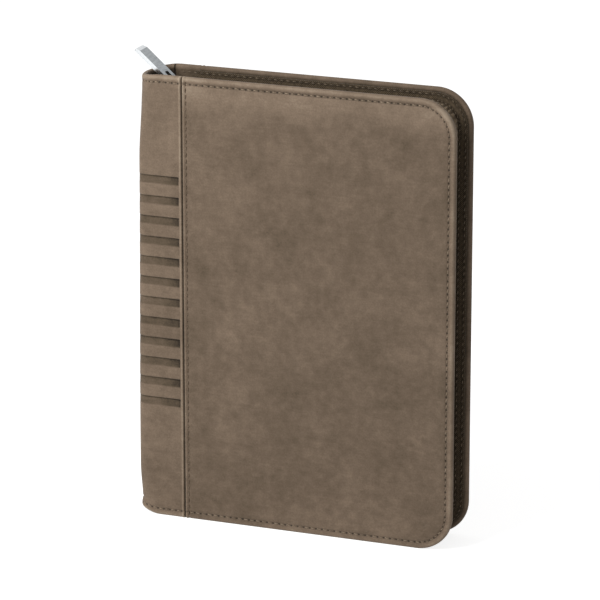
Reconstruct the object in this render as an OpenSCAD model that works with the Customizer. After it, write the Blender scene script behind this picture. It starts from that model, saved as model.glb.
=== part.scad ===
// Zip-around daily planner, closed and standing on its lower edges. Millimetres, +Z up.
// X runs from the spine to the fore-edge, -Y is the front. The origin is on the floor, in the middle
// of the footprint. Depths called s are counted from the outer face of a cover inward, and distances
// called q from its edge inward.

/* [Case] */
// Height of the closed case
case_h = 245; // [210:5:290]
// Width from the back of the spine to the fore-edge
case_w = 182; // [160:2:220]
// Depth over both covers
case_d = 30; // [28:1:38]
// Radius of the two corners at the fore-edge
corner_r = 20; // [18:1:32]

/* [Cover layers] */
// Leather
leather_t = 1; // [0.8:0.1:1.3]
// Board between leather and lining
board_t = 1.5; // [1.2:0.1:1.9]
// Lining, and the leather turned in around it
lining_t = 0.7; // [0.5:0.1:0.9]
// Width of the leather turned in behind the board
turn_in = 12; // [11:0.5:15]
// Stitch line, from the edge of the cover
stitch_inset = 3.75; // [3.5:0.25:6]
// Depth of the groove that the stitches pull into the leather
stitch_groove = 0.35; // [0.2:0.05:0.5]

/* [Spine] */
// Spine leather on each cover, from the hinge crease to the seam
flap_w = 15; // [12:1:20]
// Open groove at the seam
seam_gap = 0.9; // [0.6:0.1:1.4]
// Debossed bars across the spine
bar_count = 12; // [4:1:14]
// Height of a bar
bar_h = 4.75; // [3:0.25:6]
// Bar to bar
bar_pitch = 11.2; // [8:0.1:12]
// Middle of the bars above the middle of the case
bar_rise = 3.75; // [0:0.25:5]
// Depth of a bar
bar_depth = 0.5; // [0.2:0.05:0.6]
// How far the ends of the spine stay below the covers
spine_drop = 1; // [0.5:0.25:2]
// Curved stiffener
stiffener_t = 1; // [0.7:0.1:1.3]

/* [Zip] */
// Middle of the zip tape, from the edge of the cover
zip_recess = 10; // [9.5:0.25:11]
// Tape
tape_t = 0.6; // [0.5:0.05:0.8]
// Tooth to tooth along the tape
tooth_pitch = 2.5; // [2:0.1:3.5]
// Free space between the two rows of teeth
row_gap = 2.3; // [2:0.1:3]
// Length of the slider
slider_len = 11.5; // [10:0.5:13]

/* [Pull] */
// From the pivot to the tip
pull_len = 25; // [18:1:30]
// Width of the bar
pull_w = 9.5; // [6.5:0.25:10.5]
// Thickness of the bar
pull_t = 2.4; // [1.8:0.1:2.4]
// Lean above the horizontal, towards the spine
pull_lean = 41; // [35:1:80]

/* [Planner] */
// Free space between the pages and the zip at the fore-edge
planner_gap = 5.5; // [4:0.5:8]
// Free space between the pages and the slider at head and tail
planner_end_gap = 6; // [4:0.5:12]
// Cover card
card_t = 0.9; // [0.6:0.1:1.1]
// Loose front leaves that turn with the front cover card
leaves_t = 0.8; // [0.4:0.1:1.2]
// How far the cover cards stand out past the pages
card_square = 1.5; // [0.5:0.5:2.5]

/* [Pockets] */
// Card slots, one behind the other
slot_w = 98; // [92:1:110]
// Nearest slot
slot_h = 56; // [50:1:60]
// How far each slot stands above the one in front of it
slot_step = 13; // [8:1:16]
// Fall of the document pocket's mouth towards the fore-edge
pocket_fall = 19.5; // [0:0.5:30]

/* [Hidden] */
$fn = 96;
// Clearance between pieces that move past each other
slide_fit = 0.35;
// Gap in the leather at a hinge crease
hinge_gap = 0.3;
// Overlap of pieces that are fused into one
bite = 0.2;

cover_t = leather_t + board_t + lining_t;
spine_t = leather_t + stiffener_t + lining_t;
fore_x = case_w / 2;
spine_r = case_d / 2;
hinge_x = spine_r - case_w / 2;
seam_x = hinge_x + flap_w;
cover_x = hinge_x + hinge_gap;
corner_x = fore_x - corner_r;
nose_r = cover_t / 2;
nose_flat = 0.2;
edge_fill = 0.4;
board_inset = nose_r + edge_fill;
board_crease_gap = 0.7;
lap_w = 4;
lap_t = 0.35;

// A tooth is a neck and a wider head with bevelled corners, on a strip that grips the tape
tooth_len = 1.1;
tooth_base = 0.75;
tooth_w = 1.4;
tooth_t = 2.1;
neck_len = 0.35;
neck_in = 0.22;
tooth_bevel = 0.25;
tooth_lead = 0.2;
corner_lead = 0.3;
tape_bend_r = 1.5;
tape_margin = 1.2;
tape_tail_w = 4;
tape_edge = stitch_inset - tape_margin;
tape_bend_q = zip_recess - tape_bend_r - tape_t / 2;
tip_s = case_d / 2 - row_gap / 2;
root_s = tip_s - tooth_len;
base_s = root_s - tooth_base;
chain_half = case_d / 2 - base_s;

slider_from_crease = 3.5;
slider_x = hinge_x + slider_from_crease;
slider_plate_t = 1;
slider_floor_gap = 0.4;
slider_floor = tooth_t / 2 + slider_floor_gap;
slider_top = slider_floor + slider_plate_t;
flange_in = chain_half + slide_fit;
flange_w = 1.1;
mouth_flare = 0.2;
tail_taper = 0.3;
slider_bow = 0.25;
wedge_tip = -1;
wedge_shoulder = 1.5;
wedge_end = 4.5;
stop_len = 2.6;
stop_grip = 0.4;
stop_back = 1;
stop_x = slider_x - slider_len / 2 - slide_fit - stop_len;
row_start_gap = 3;
row_end_x = slider_x + slider_len / 2 + row_start_gap;
zip_z = case_h - zip_recess;

bail_w = 2.4;
bail_t = 1;
bail_r = 5.2;
bail_h = 3.5;
pivot_r = 0.8;
pivot_fit = 0.15;
pivot_h = slider_top + bail_h - bail_t - pivot_r - pivot_fit;
window_side_gap = 0.6;
window_w = bail_w + 2 * window_side_gap;
window_end_gap = 0.4;
window_end = bail_r + window_end_gap;
pull_tip_r = 0.8;
pull_bevel = 2.5;
pull_bevel_drop = 1;

page_from_crease = 4;
page_x = hinge_x + page_from_crease;
page_q = zip_recess + tooth_t / 2 + planner_gap;
page_end_x = fore_x - page_q;
page_z = zip_recess + slider_top + planner_end_gap;
page_h = case_h - 2 * page_z;
page_corner_r = corner_r - page_q;
leaf_gutter = 0.6;
strip_t = 0.8;
band_r = 0.7;

sleeve_t = 0.7;
sleeve_hem = 1.2;
sleeve_inset = page_q - card_square - slide_fit - sleeve_hem;
sleeve_from_gutter = 12;
pocket_t = 0.6;
pocket_margin = 1.5;
pocket_inset = turn_in + pocket_margin;
pocket_from_seam = 6;
card_slots = 3;
slot_from_seam = 10;
slot_head = 19.5;
slot_gap = 7.5;
slot_z = case_h - pocket_inset - slot_head - slot_h - slot_step * (card_slots - 1);
pocket_top = slot_z - slot_gap;
pockets_s = cover_t + card_slots * pocket_t;
leaf_y = -case_d / 2 + pockets_s + 2 * slide_fit;
block_y = leaf_y + card_t + leaves_t + hinge_gap;
block_back_y = case_d / 2 - cover_t - card_t - sleeve_t;

leather = "#85735f";
lining_grey = "#4b443c";
board_grey = "#9a8f7c";
tape_brown = "#40372c";
tooth_brown = "#2f2820";
metal = "#b9bdc0";
card_brown = "#5a4c40";
paper = "#efe9da";

// Places what is drawn with s along +Y on the front cover, or mirrored on the back cover.
module on_front() {
    translate([0, -case_d / 2, 0]) children();
}

module on_back() {
    mirror([0, 1, 0]) on_front() children();
}

// Extrudes an outline in X and Z from depth s0 to depth s1.
module slab(s0, s1) {
    translate([0, s1, 0]) rotate([90, 0, 0]) linear_extrude(s1 - s0) children();
}

// Outline of a cover, moved inward by q, with its straight side at x0.
module outline(q, x0) {
    translate([x0, q]) square([corner_x - x0, case_h - 2 * q]);
    translate([corner_x, corner_r]) square([corner_r - q, case_h - 2 * corner_r]);
    for (z = [corner_r, case_h - corner_r])
        translate([corner_x, z]) circle(corner_r - q);
}

// Band between two such outlines, from q0 to q1, open at x0.
module band(q0, q1, x0) {
    difference() {
        outline(q0, x0);
        outline(q1, x0 - 1);
    }
}

// Carries a profile in q and s along the upper edge from x0 to x1.
module top_run(x0, x1) {
    translate([x0, 0, case_h]) rotate([90, 0, 90]) linear_extrude(x1 - x0) rotate(-90) children();
}

// Draws what is given for the upper half again for the lower half.
module upper_and_lower() {
    children();
    translate([0, 0, case_h]) mirror([0, 0, 1]) children();
}

// Carries a profile in q and s round the upper half of the open edge, from x0 to mid-height.
module upper_sweep(x0) {
    top_run(x0, corner_x) children();
    translate([corner_x, 0, case_h - corner_r]) rotate([90, 0, 0])
        rotate_extrude(angle = 90) translate([corner_r, 0]) rotate(180) children();
    translate([fore_x, 0, case_h / 2]) linear_extrude(case_h / 2 - corner_r)
        mirror([1, 0]) children();
}

// Rolled rim of the leather: rounded nose with a narrow flat, face, and turned-in edge.
module rim_profile() {
    difference() {
        union() {
            intersection() {
                translate([nose_r - nose_flat, nose_r]) circle(nose_r);
                square([nose_r, cover_t]);
            }
            translate([nose_r - nose_flat, 0]) square([board_inset - nose_r + nose_flat, cover_t]);
            translate([nose_r, 0]) square([turn_in - nose_r, leather_t]);
            translate([nose_r, cover_t - lining_t]) square([turn_in - nose_r, lining_t]);
        }
        translate([stitch_inset, -2 * stitch_groove]) circle(3 * stitch_groove);
    }
}

// Removes the sharp outer corner of a leather edge at x; towards is 1 if the leather lies at larger x.
module rounded_seam_edge(x, towards) {
    difference() {
        children();
        translate([x, 0, -1]) linear_extrude(case_h + 2) difference() {
            translate([towards > 0 ? -1 : -leather_t, -1]) square([leather_t + 1, leather_t + 1]);
            translate([towards * leather_t, leather_t]) circle(leather_t);
        }
    }
}

// Thin edge of the flap that is lapped under the panel at the seam.
module seam_lap() {
    translate([seam_x - seam_gap / 2 - bite, leather_t - lap_t, turn_in])
        cube([bite + seam_gap + lap_w, lap_t, case_h - 2 * turn_in]);
}

module cover_panel() {
    x0 = seam_x + seam_gap / 2;
    difference() {
        rounded_seam_edge(x0, 1) {
            upper_and_lower() upper_sweep(x0) rim_profile();
            slab(0, leather_t) outline(turn_in - bite, x0);
        }
        seam_lap();
    }
}

module cover_flap() {
    x1 = seam_x - seam_gap / 2;
    difference() {
        rounded_seam_edge(x1, -1) {
            upper_and_lower() top_run(cover_x, x1) rim_profile();
            translate([cover_x, 0, turn_in - bite])
                cube([x1 - cover_x, leather_t, case_h - 2 * (turn_in - bite)]);
        }
        for (i = [0 : bar_count - 1])
            translate([cover_x - 1, -1, bar_bottom(i)])
                cube([x1 - cover_x + 1 - 2 * leather_t, 1 + bar_depth, bar_h]);
    }
    seam_lap();
}

function bar_bottom(i) = case_h / 2 + bar_rise - bar_h / 2 + (i - (bar_count - 1) / 2) * bar_pitch;

module cover_board() {
    slab(leather_t, leather_t + board_t) outline(board_inset, cover_x + board_crease_gap);
}

module cover_lining() {
    slab(leather_t + board_t, cover_t) outline(turn_in, cover_x);
}

// Free part of the tape: bent from the cover across to the middle of the case.
module tape_profile() {
    bend_s = cover_t + tape_t + tape_bend_r;
    translate([tape_bend_q - bite, cover_t]) square([bite, tape_t]);
    intersection() {
        difference() {
            translate([tape_bend_q, bend_s]) circle(tape_bend_r + tape_t);
            translate([tape_bend_q, bend_s]) circle(tape_bend_r);
        }
        translate([tape_bend_q, cover_t]) square(tape_bend_r + tape_t);
    }
    translate([zip_recess - tape_t / 2, bend_s]) square([tape_t, base_s - bend_s]);
}

// One half of the tape, with the flat band that is sewn on the cover.
module cover_tape() {
    slab(cover_t, cover_t + tape_t) band(tape_edge, tape_bend_q, row_end_x);
    upper_and_lower() upper_sweep(row_end_x) tape_profile();
}

// Outline of one tooth that starts at u, from just inside its strip to the tip.
function tooth_side() = [[neck_in, -bite], [neck_in, neck_len], [0, neck_len + neck_in],
    [0, tooth_len - tooth_bevel], [tooth_bevel, tooth_len]];
function tooth_outline(u) = let (side = tooth_side(), last = len(side) - 1) concat(
    [for (p = side) [u + p[0], root_s + p[1]]],
    [for (i = [0 : last]) [u + tooth_w - side[last - i][0], root_s + side[last - i][1]]]);

// Comb of teeth along +X, its back sunk in the strip.
module tooth_run(length, shift) {
    count = floor((length - shift - tooth_w) / tooth_pitch);
    back = root_s - 2 * bite;
    teeth = [for (i = [0 : count], p = tooth_outline(shift + i * tooth_pitch)) p];
    translate([0, 0, -tooth_t / 2]) linear_extrude(tooth_t)
        polygon(concat([[shift, back]], teeth, [[shift + count * tooth_pitch + tooth_w, back]]));
}

// Teeth that fan round a corner.
module tooth_corner(shift) {
    r = corner_r - zip_recess;
    count = round(r * PI / 2 / tooth_pitch);
    for (i = [0 : count - 1])
        rotate([0, -90 * (i + shift) / count, 0]) translate([r, 0, 0]) rotate([0, -90, 0])
            translate([0, 0, -tooth_t / 2]) linear_extrude(tooth_t)
                polygon(tooth_outline(-tooth_w / 2));
}

// Strip with the three runs and two corners of one row; shift moves the teeth by that part of a pitch.
module cover_teeth(shift) {
    run = corner_x - row_end_x;
    step = tooth_lead + shift * tooth_pitch;
    turn = corner_lead + shift / 2;
    slab(base_s, root_s) band(zip_recess - tooth_t / 2, zip_recess + tooth_t / 2, row_end_x);
    for (z = [zip_recess, zip_z])
        translate([row_end_x, 0, z]) tooth_run(run, step);
    translate([fore_x - zip_recess, 0, corner_r]) rotate([0, -90, 0])
        tooth_run(case_h - 2 * corner_r, step);
    upper_and_lower() translate([corner_x, 0, case_h - corner_r]) tooth_corner(turn);
}

// Clamp on the end of a row at the lower edge.
module top_stop() {
    translate([row_end_x - stop_len, base_s - stop_grip, zip_recess - tooth_t / 2])
        cube([stop_len, tip_s - base_s + stop_grip, tooth_t]);
}

module back_panel() {
    color(leather) on_back() cover_panel();
}

module back_flap() {
    color(leather) on_back() cover_flap();
}

module back_board() {
    color(board_grey) on_back() cover_board();
}

module back_lining() {
    color(lining_grey) on_back() cover_lining();
}

// Sheet over the planner's back cover card, hemmed to the lining on three sides.
module back_sleeve() {
    s1 = cover_t + card_t;
    x0 = page_x + sleeve_from_gutter;
    color(lining_grey) on_back() {
        slab(s1, s1 + sleeve_t) outline(sleeve_inset, x0);
        slab(cover_t, s1 + sleeve_t) band(sleeve_inset, sleeve_inset + sleeve_hem, x0);
    }
}

// The back tape also carries a tail past the hinge crease, where the slider is parked.
module back_zip_tape() {
    tail = row_end_x - stop_x + bite;
    color(tape_brown) on_back() {
        cover_tape();
        translate([stop_x, base_s - tape_tail_w, zip_z - tape_t / 2]) cube([tail, tape_tail_w, tape_t]);
    }
}

module back_zip_teeth() {
    tail_x = stop_x + stop_len;
    tail = row_end_x - tail_x;
    color(tooth_brown) on_back() {
        cover_teeth(0);
        translate([tail_x, base_s, zip_z - tooth_t / 2]) cube([tail + bite, tooth_base, tooth_t]);
        translate([tail_x, 0, zip_z]) tooth_run(tail, tooth_lead);
    }
}

module back_top_stop() {
    color(metal) on_back() top_stop();
}

// Bar across both rows behind the parked slider, clamped on the tail of the back tape.
module zip_bottom_stop() {
    color(metal) difference() {
        translate([stop_x, -chain_half, zip_z - tooth_t / 2])
            cube([stop_len, 2 * chain_half + stop_back, tooth_t]);
        translate([stop_x - 1, case_d / 2 - base_s, zip_z - tape_t / 2])
            cube([stop_len + 2, chain_half, tape_t]);
    }
}

// Turns a profile in radius and height half round the middle of the spine.
module round_spine() {
    translate([hinge_x, 0, 0]) rotate([0, 0, 90]) rotate_extrude(angle = 180) children();
}

module spine_panel() {
    nose = spine_t / 2;
    z0 = spine_drop;
    z1 = case_h - spine_drop;
    color(leather) round_spine() difference() {
        union() {
            translate([spine_r - leather_t, z0 + nose]) square([leather_t, z1 - z0 - 2 * nose]);
            for (z = [z0 + nose, z1 - nose])
                translate([spine_r - nose, z]) circle(nose);
            for (z = [z0 + nose, case_h - turn_in])
                translate([spine_r - spine_t, z]) square([lining_t, turn_in - nose - z0]);
        }
        for (z = [z0 + nose, z1 - 2 * nose])
            translate([spine_r - spine_t + lining_t, z]) square([stiffener_t, nose]);
        for (z = [stitch_inset, case_h - stitch_inset])
            translate([spine_r + 2 * stitch_groove, z]) circle(3 * stitch_groove);
        for (i = [0 : bar_count - 1])
            translate([spine_r - bar_depth, bar_bottom(i)]) square([1 + bar_depth, bar_h]);
    }
}

module spine_stiffener() {
    z0 = spine_drop + spine_t / 2;
    color(board_grey) round_spine()
        translate([spine_r - leather_t - stiffener_t, z0]) square([stiffener_t, case_h - 2 * z0]);
}

module spine_lining() {
    color(lining_grey) round_spine()
        translate([spine_r - spine_t, turn_in]) square([lining_t, case_h - 2 * turn_in]);
}

module front_panel() {
    color(leather) on_front() cover_panel();
}

module front_flap() {
    color(leather) on_front() cover_flap();
}

module front_board() {
    color(board_grey) on_front() cover_board();
}

module front_lining() {
    color(lining_grey) on_front() cover_lining();
}

module front_zip_tape() {
    color(tape_brown) on_front() cover_tape();
}

module front_zip_teeth() {
    color(tooth_brown) on_front() cover_teeth(0.5);
}

module front_top_stop() {
    color(metal) on_front() top_stop();
}

// Flat pocket over the lower half of the lining, its mouth sloping down to the fore-edge.
module document_pocket() {
    x0 = seam_x + pocket_from_seam;
    color(leather) on_front() slab(cover_t, cover_t + pocket_t) intersection() {
        outline(pocket_inset, x0);
        polygon([[x0, 0], [fore_x, 0], [fore_x, pocket_top - pocket_fall], [x0, pocket_top]]);
    }
}

// One of the overlapping slots above the pocket; the nearer slots are lower and lie on the others.
module card_slot(i) {
    s0 = cover_t + i * pocket_t;
    color(leather) on_front() slab(s0, s0 + pocket_t) translate([seam_x + slot_from_seam, slot_z])
        square([slot_w, slot_h + slot_step * (card_slots - 1 - i)]);
}

module card_slot_rear() {
    card_slot(0);
}

module card_slot_middle() {
    card_slot(1);
}

module card_slot_near() {
    card_slot(2);
}

// Outline of a slider plate: wide at the mouth, narrower at the tail, both ends bowed.
module slider_outline() {
    mouth = flange_in + flange_w + mouth_flare;
    tail = flange_in + flange_w - tail_taper;
    half = slider_len / 2;
    intersection() {
        polygon([[-half, -tail], [half, -mouth], [half, mouth], [-half, tail]]);
        circle(half + slider_bow);
    }
}

// Two plates joined by the wedge that parts the rows, with flanges that hold the rows in.
module slider_body() {
    wedge = row_gap / 2 - slide_fit;
    color(metal) translate([slider_x, 0, zip_z]) {
        for (side = [0, 1])
            mirror([0, 0, side]) {
                translate([0, 0, slider_floor]) linear_extrude(slider_plate_t) slider_outline();
                translate([0, 0, tape_t / 2 + slide_fit])
                    linear_extrude(slider_floor - tape_t / 2 - slide_fit + bite) difference() {
                        slider_outline();
                        square([2 * slider_len, 2 * flange_in], center = true);
                    }
            }
        translate([0, 0, -slider_floor - bite]) linear_extrude(2 * (slider_floor + bite))
            polygon([[wedge_tip, 0], [wedge_shoulder, -wedge], [wedge_end, -wedge],
                [wedge_end, wedge], [wedge_shoulder, wedge]]);
    }
}

// Arched strap on the slider, with room under it for the cross-bar of the pull.
module slider_bail() {
    centre = slider_top + bail_h - bail_r;
    color(metal) translate([slider_x, bail_w / 2, zip_z]) rotate([90, 0, 0])
        linear_extrude(bail_w) difference() {
            translate([0, centre]) circle(bail_r);
            translate([0, centre]) circle(bail_r - bail_t);
            translate([-2 * bail_r, slider_top - 4 * bail_r]) square(4 * bail_r);
        }
}

// Flat bar with a window for the bail and a round cross-bar on the pivot; the tip is bevelled.
module pull_tab() {
    half_t = pull_t / 2;
    color(metal) translate([slider_x, 0, zip_z + pivot_h]) rotate([0, 180 + pull_lean, 0]) {
        difference() {
            union() {
                translate([0, 0, -half_t]) linear_extrude(pull_t) {
                    translate([0, -pull_w / 2]) square([pull_len - pull_tip_r, pull_w]);
                    translate([0, pull_tip_r - pull_w / 2]) square([pull_len, pull_w - 2 * pull_tip_r]);
                    for (side = [-1, 1])
                        translate([pull_len - pull_tip_r, side * (pull_w / 2 - pull_tip_r)])
                            circle(pull_tip_r);
                }
                rotate([90, 0, 0]) cylinder(r = half_t, h = pull_w, center = true);
            }
            translate([-pull_t, -window_w / 2, -pull_t])
                cube([window_end + pull_t, window_w, 2 * pull_t]);
            rotate([90, 0, 0]) linear_extrude(2 * pull_w, center = true)
                polygon([[pull_len - pull_bevel, -half_t], [pull_len, -half_t - 1],
                    [pull_len + 1, -half_t - 1], [pull_len + 1, pull_bevel_drop - half_t],
                    [pull_len, pull_bevel_drop - half_t]]);
        }
        rotate([90, 0, 0]) cylinder(r = pivot_r, h = window_w + 2 * bite, center = true);
    }
}

// Sheet of the planner from y0 to y1, its outer corners rounded, standing out past the pages by over.
module planner_sheet(x0, y0, y1, over) {
    r = page_corner_r + over;
    x1 = page_end_x + over;
    z0 = page_z - over;
    h = page_h + 2 * over;
    translate([0, y1, 0]) rotate([90, 0, 0]) linear_extrude(y1 - y0) {
        translate([x0, z0]) square([x1 - r - x0, h]);
        translate([x1 - r, z0 + r]) square([r, h - 2 * r]);
        for (z = [z0 + r, z0 + h - r])
            translate([x1 - r, z]) circle(r);
    }
}

module planner_front_cover() {
    color(card_brown) planner_sheet(page_x + leaf_gutter, leaf_y, leaf_y + card_t, card_square);
}

module planner_leaves() {
    y0 = leaf_y + card_t;
    color(paper) planner_sheet(page_x + leaf_gutter, y0, y0 + leaves_t, 0);
}

module page_block() {
    color(paper) planner_sheet(page_x, block_y, block_back_y, 0);
}

module planner_spine() {
    z0 = page_z - card_square;
    color(card_brown) translate([page_x - strip_t, block_y, z0])
        cube([strip_t, case_d / 2 - cover_t - block_y, page_h + 2 * card_square]);
}

// Rolled bands at the two ends of the pages, beside the spine strip.
module headbands() {
    color("#c9b48c") for (z = [page_z - band_r, page_z + page_h + band_r])
        translate([page_x + band_r, block_back_y, z]) rotate([90, 0, 0])
            cylinder(r = band_r, h = block_back_y - block_y);
}

module planner_back_cover() {
    y1 = case_d / 2 - cover_t;
    color(card_brown) planner_sheet(page_x, y1 - card_t, y1, card_square);
}

back_panel();
back_flap();
back_board();
back_lining();
back_sleeve();
back_zip_tape();
back_zip_teeth();
back_top_stop();
zip_bottom_stop();
spine_panel();
spine_stiffener();
spine_lining();
front_panel();
front_flap();
front_board();
front_lining();
front_zip_tape();
front_zip_teeth();
front_top_stop();
document_pocket();
card_slot_rear();
card_slot_middle();
card_slot_near();
slider_body();
slider_bail();
pull_tab();
planner_front_cover();
planner_leaves();
page_block();
planner_spine();
headbands();
planner_back_cover();
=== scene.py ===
# %% [markdown]
# # A zip-around daily planner
# The planner is a soft leatherette case that closes round a bound diary with a zip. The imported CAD
# solids already give every size, every body and every hinge, so this lesson only dresses them: leather
# that rolls over the boards, thread that can be counted, woven tape, metal and paper. Lengths are
# worked out in millimetres, because that is how a case maker thinks, and turned into metres at the end.

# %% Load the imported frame
import math
from functools import partialmethod

import bmesh
import bpy
import numpy as np
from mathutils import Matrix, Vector


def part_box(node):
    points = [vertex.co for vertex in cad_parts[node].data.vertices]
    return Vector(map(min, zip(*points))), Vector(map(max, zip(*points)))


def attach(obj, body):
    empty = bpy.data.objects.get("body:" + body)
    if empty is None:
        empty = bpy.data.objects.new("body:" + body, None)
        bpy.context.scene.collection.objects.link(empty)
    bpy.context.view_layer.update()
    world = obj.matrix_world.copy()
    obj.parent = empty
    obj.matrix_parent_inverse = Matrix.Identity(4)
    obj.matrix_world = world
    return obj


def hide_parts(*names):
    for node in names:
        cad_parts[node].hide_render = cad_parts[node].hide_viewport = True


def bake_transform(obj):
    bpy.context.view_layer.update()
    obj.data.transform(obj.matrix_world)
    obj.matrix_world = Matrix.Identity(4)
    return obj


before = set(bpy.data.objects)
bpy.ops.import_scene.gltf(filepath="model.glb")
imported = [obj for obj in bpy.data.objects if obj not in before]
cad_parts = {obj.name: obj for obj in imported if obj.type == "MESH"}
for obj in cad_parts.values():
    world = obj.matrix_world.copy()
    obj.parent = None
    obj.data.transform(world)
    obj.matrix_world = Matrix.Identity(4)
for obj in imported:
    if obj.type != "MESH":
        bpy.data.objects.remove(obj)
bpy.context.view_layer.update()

# %% [markdown]
# The main sizes are read from the CAD nodes' boxes, so the dressing always fits the solids. The case
# stands upright: x runs from the spine to the fore-edge, y from the front to the back, and z from the foot
# to the head. On each cover a seam joins the leather of the panel to the flap of the spine's leather, and
# both are drawn a little closer together there than the solids are.

# %% Sizes of the case, in millimetres
MM = 0.001
FRONT, BACK = -1, 1
COVERS = {"front": FRONT, "back": BACK}
SEAM_GAP, SEAM_CLOSE = 0.9, 0.2


def node_box(node):
    """Lowest and highest corner of a CAD node, in millimetres."""
    low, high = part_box(node)
    return np.array(low) / MM, np.array(high) / MM


panel_low, panel_high = node_box("front_panel")
spine_low, spine_high = node_box("spine_panel")
PANEL_X, FLAP_X = panel_low[0] - SEAM_CLOSE, panel_low[0] - SEAM_GAP + SEAM_CLOSE
CREASE_X, FORE_X = spine_high[0], panel_high[0]
CASE_H, HALF_D = panel_high[2], -panel_low[1]
COVER_T = panel_high[1] - panel_low[1]
print(f"case {FORE_X - CREASE_X + HALF_D:.1f} x {2 * HALF_D:.1f} x {CASE_H:.1f} mm, cover {COVER_T:.1f} mm")

# %% [markdown]
# Every new piece is a grid of points: steps along a path in one direction, steps along a profile in the
# other. Boxes could be pushed into shape by hand, but a formula can be read, checked and changed. Two
# attributes travel with the points. "tone" says where a finish is darker or paler than its own colour;
# on the leather and the tapes much of it is painted highlight and painted shade. "run" carries the distance
# along a seam or a tape, so that needle holes and weave can follow the surface round a corner.

# %% Grids of points
def ease(value, low, high):
    """Smooth step: 0 below low, 1 above high, and 3t^2 - 2t^3 of the share t of the way between."""
    share = np.clip((value - low) / (high - low), 0, 1)
    return share * share * (3 - 2 * share)


def hump(value, middle, width):
    """Bell of height 1: e to the power of minus the square of the distance from the middle over the width."""
    return np.exp(-(((value - middle) / width) ** 2))


def together(*values):
    """Numbers and arrays, stretched to one shape and put side by side along a new last axis."""
    return np.stack(np.broadcast_arrays(*values), -1)


def grid(points, tone=0.0, run=0.0, wrap=False, flip=False):
    """One grid of points in rows and columns, with its attributes and the corner numbers of its faces.
    A face joins a point to the next in its row, the one across and the next in its column. Wrap joins the
    last column to the first, and flip makes the faces look the other way."""
    rows, columns = points.shape[:2]
    row, column = np.meshgrid(np.arange(rows - 1), np.arange(columns - (not wrap)), indexing="ij")
    here, below, beside = row * columns, (row + 1) * columns, (column + 1) % columns
    faces = together(here + column, here + beside, below + beside, below + column).reshape(-1, 4)
    return {
        "points": points.reshape(-1, 3),
        "faces": faces[:, ::-1] if flip else faces,
        "tone": np.broadcast_to(tone, (rows, columns)).reshape(-1),
        "run": np.broadcast_to(run, (rows, columns, 3)).reshape(-1, 3),
    }


print("smooth step a quarter of the way:", float(ease(0.25, 0, 1)))

# %% [markdown]
# Blender takes several such grids as one mesh. The borders that they share are welded, because a gap would
# let light through and spoil the smooth shading. Leather and cloth get their thickness from a Solidify
# modifier, which leaves the surface itself easy to change. Each finished piece is then given its material
# and its body, and the CAD nodes that it stands for are hidden.

# %% Meshes and pieces
WELD_REACH = 0.002


def new_object(name, data):
    """Object at the origin, linked to the scene."""
    piece = bpy.data.objects.new(name, data)
    bpy.context.scene.collection.objects.link(piece)
    return piece


def weld(mesh, reach, flat=0.0):
    """Merges points within reach, joins faces that turn by less than flat, and shades the mesh smooth."""
    shell = bmesh.new()
    shell.from_mesh(mesh)
    bmesh.ops.remove_doubles(shell, verts=shell.verts, dist=reach * MM)
    if flat:
        bmesh.ops.dissolve_limit(shell, angle_limit=flat, verts=shell.verts, edges=shell.edges)
    shell.to_mesh(mesh)
    shell.free()
    mesh.polygons.foreach_set("use_smooth", np.ones(len(mesh.polygons), bool))


def build(name, grids):
    """Smooth object made of one or more grids in millimetres, welded where they meet."""
    starts = np.cumsum([0] + [len(part["points"]) for part in grids[:-1]])
    faces = np.concatenate([part["faces"] + start for part, start in zip(grids, starts)])
    points, tone, run = (np.concatenate([part[key] for part in grids]) for key in ("points", "tone", "run"))
    mesh = bpy.data.meshes.new(name)
    mesh.from_pydata((points * MM).tolist(), [], faces.tolist())
    tones = mesh.attributes.new("tone", "FLOAT", "POINT")
    tones.data.foreach_set("value", tone.astype(np.float32))
    runs = mesh.attributes.new("run", "FLOAT_VECTOR", "POINT")
    runs.data.foreach_set("vector", run.astype(np.float32).ravel())
    weld(mesh, WELD_REACH)
    return new_object(name, mesh)


def thicken(piece, thickness):
    """Wall of that many millimetres behind the surface, by a Solidify modifier."""
    wall = piece.modifiers.new("wall", "SOLIDIFY")
    wall.thickness = thickness * MM
    wall.offset = -1
    return piece


def dress(piece, finish, body=None, replaced=()):
    """Gives a piece its material and the body that it rides on, and hides the nodes it stands for."""
    piece.data.materials.clear()
    piece.data.materials.append(finish)
    if body:
        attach(piece, body)
    if replaced:
        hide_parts(*replaced)
    print(f"{piece.name}: {len(piece.data.vertices)} points, {len(piece.data.polygons)} faces")
    return piece


print(f"points within {WELD_REACH} mm of each other become one")

# %% [markdown]
# Shader maths reads best as a formula. A small class wraps a socket, so that `0.5 + grain * 0.3` adds the
# Math nodes by itself, and one method adds any other node from its type, its settings and its sockets.

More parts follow.
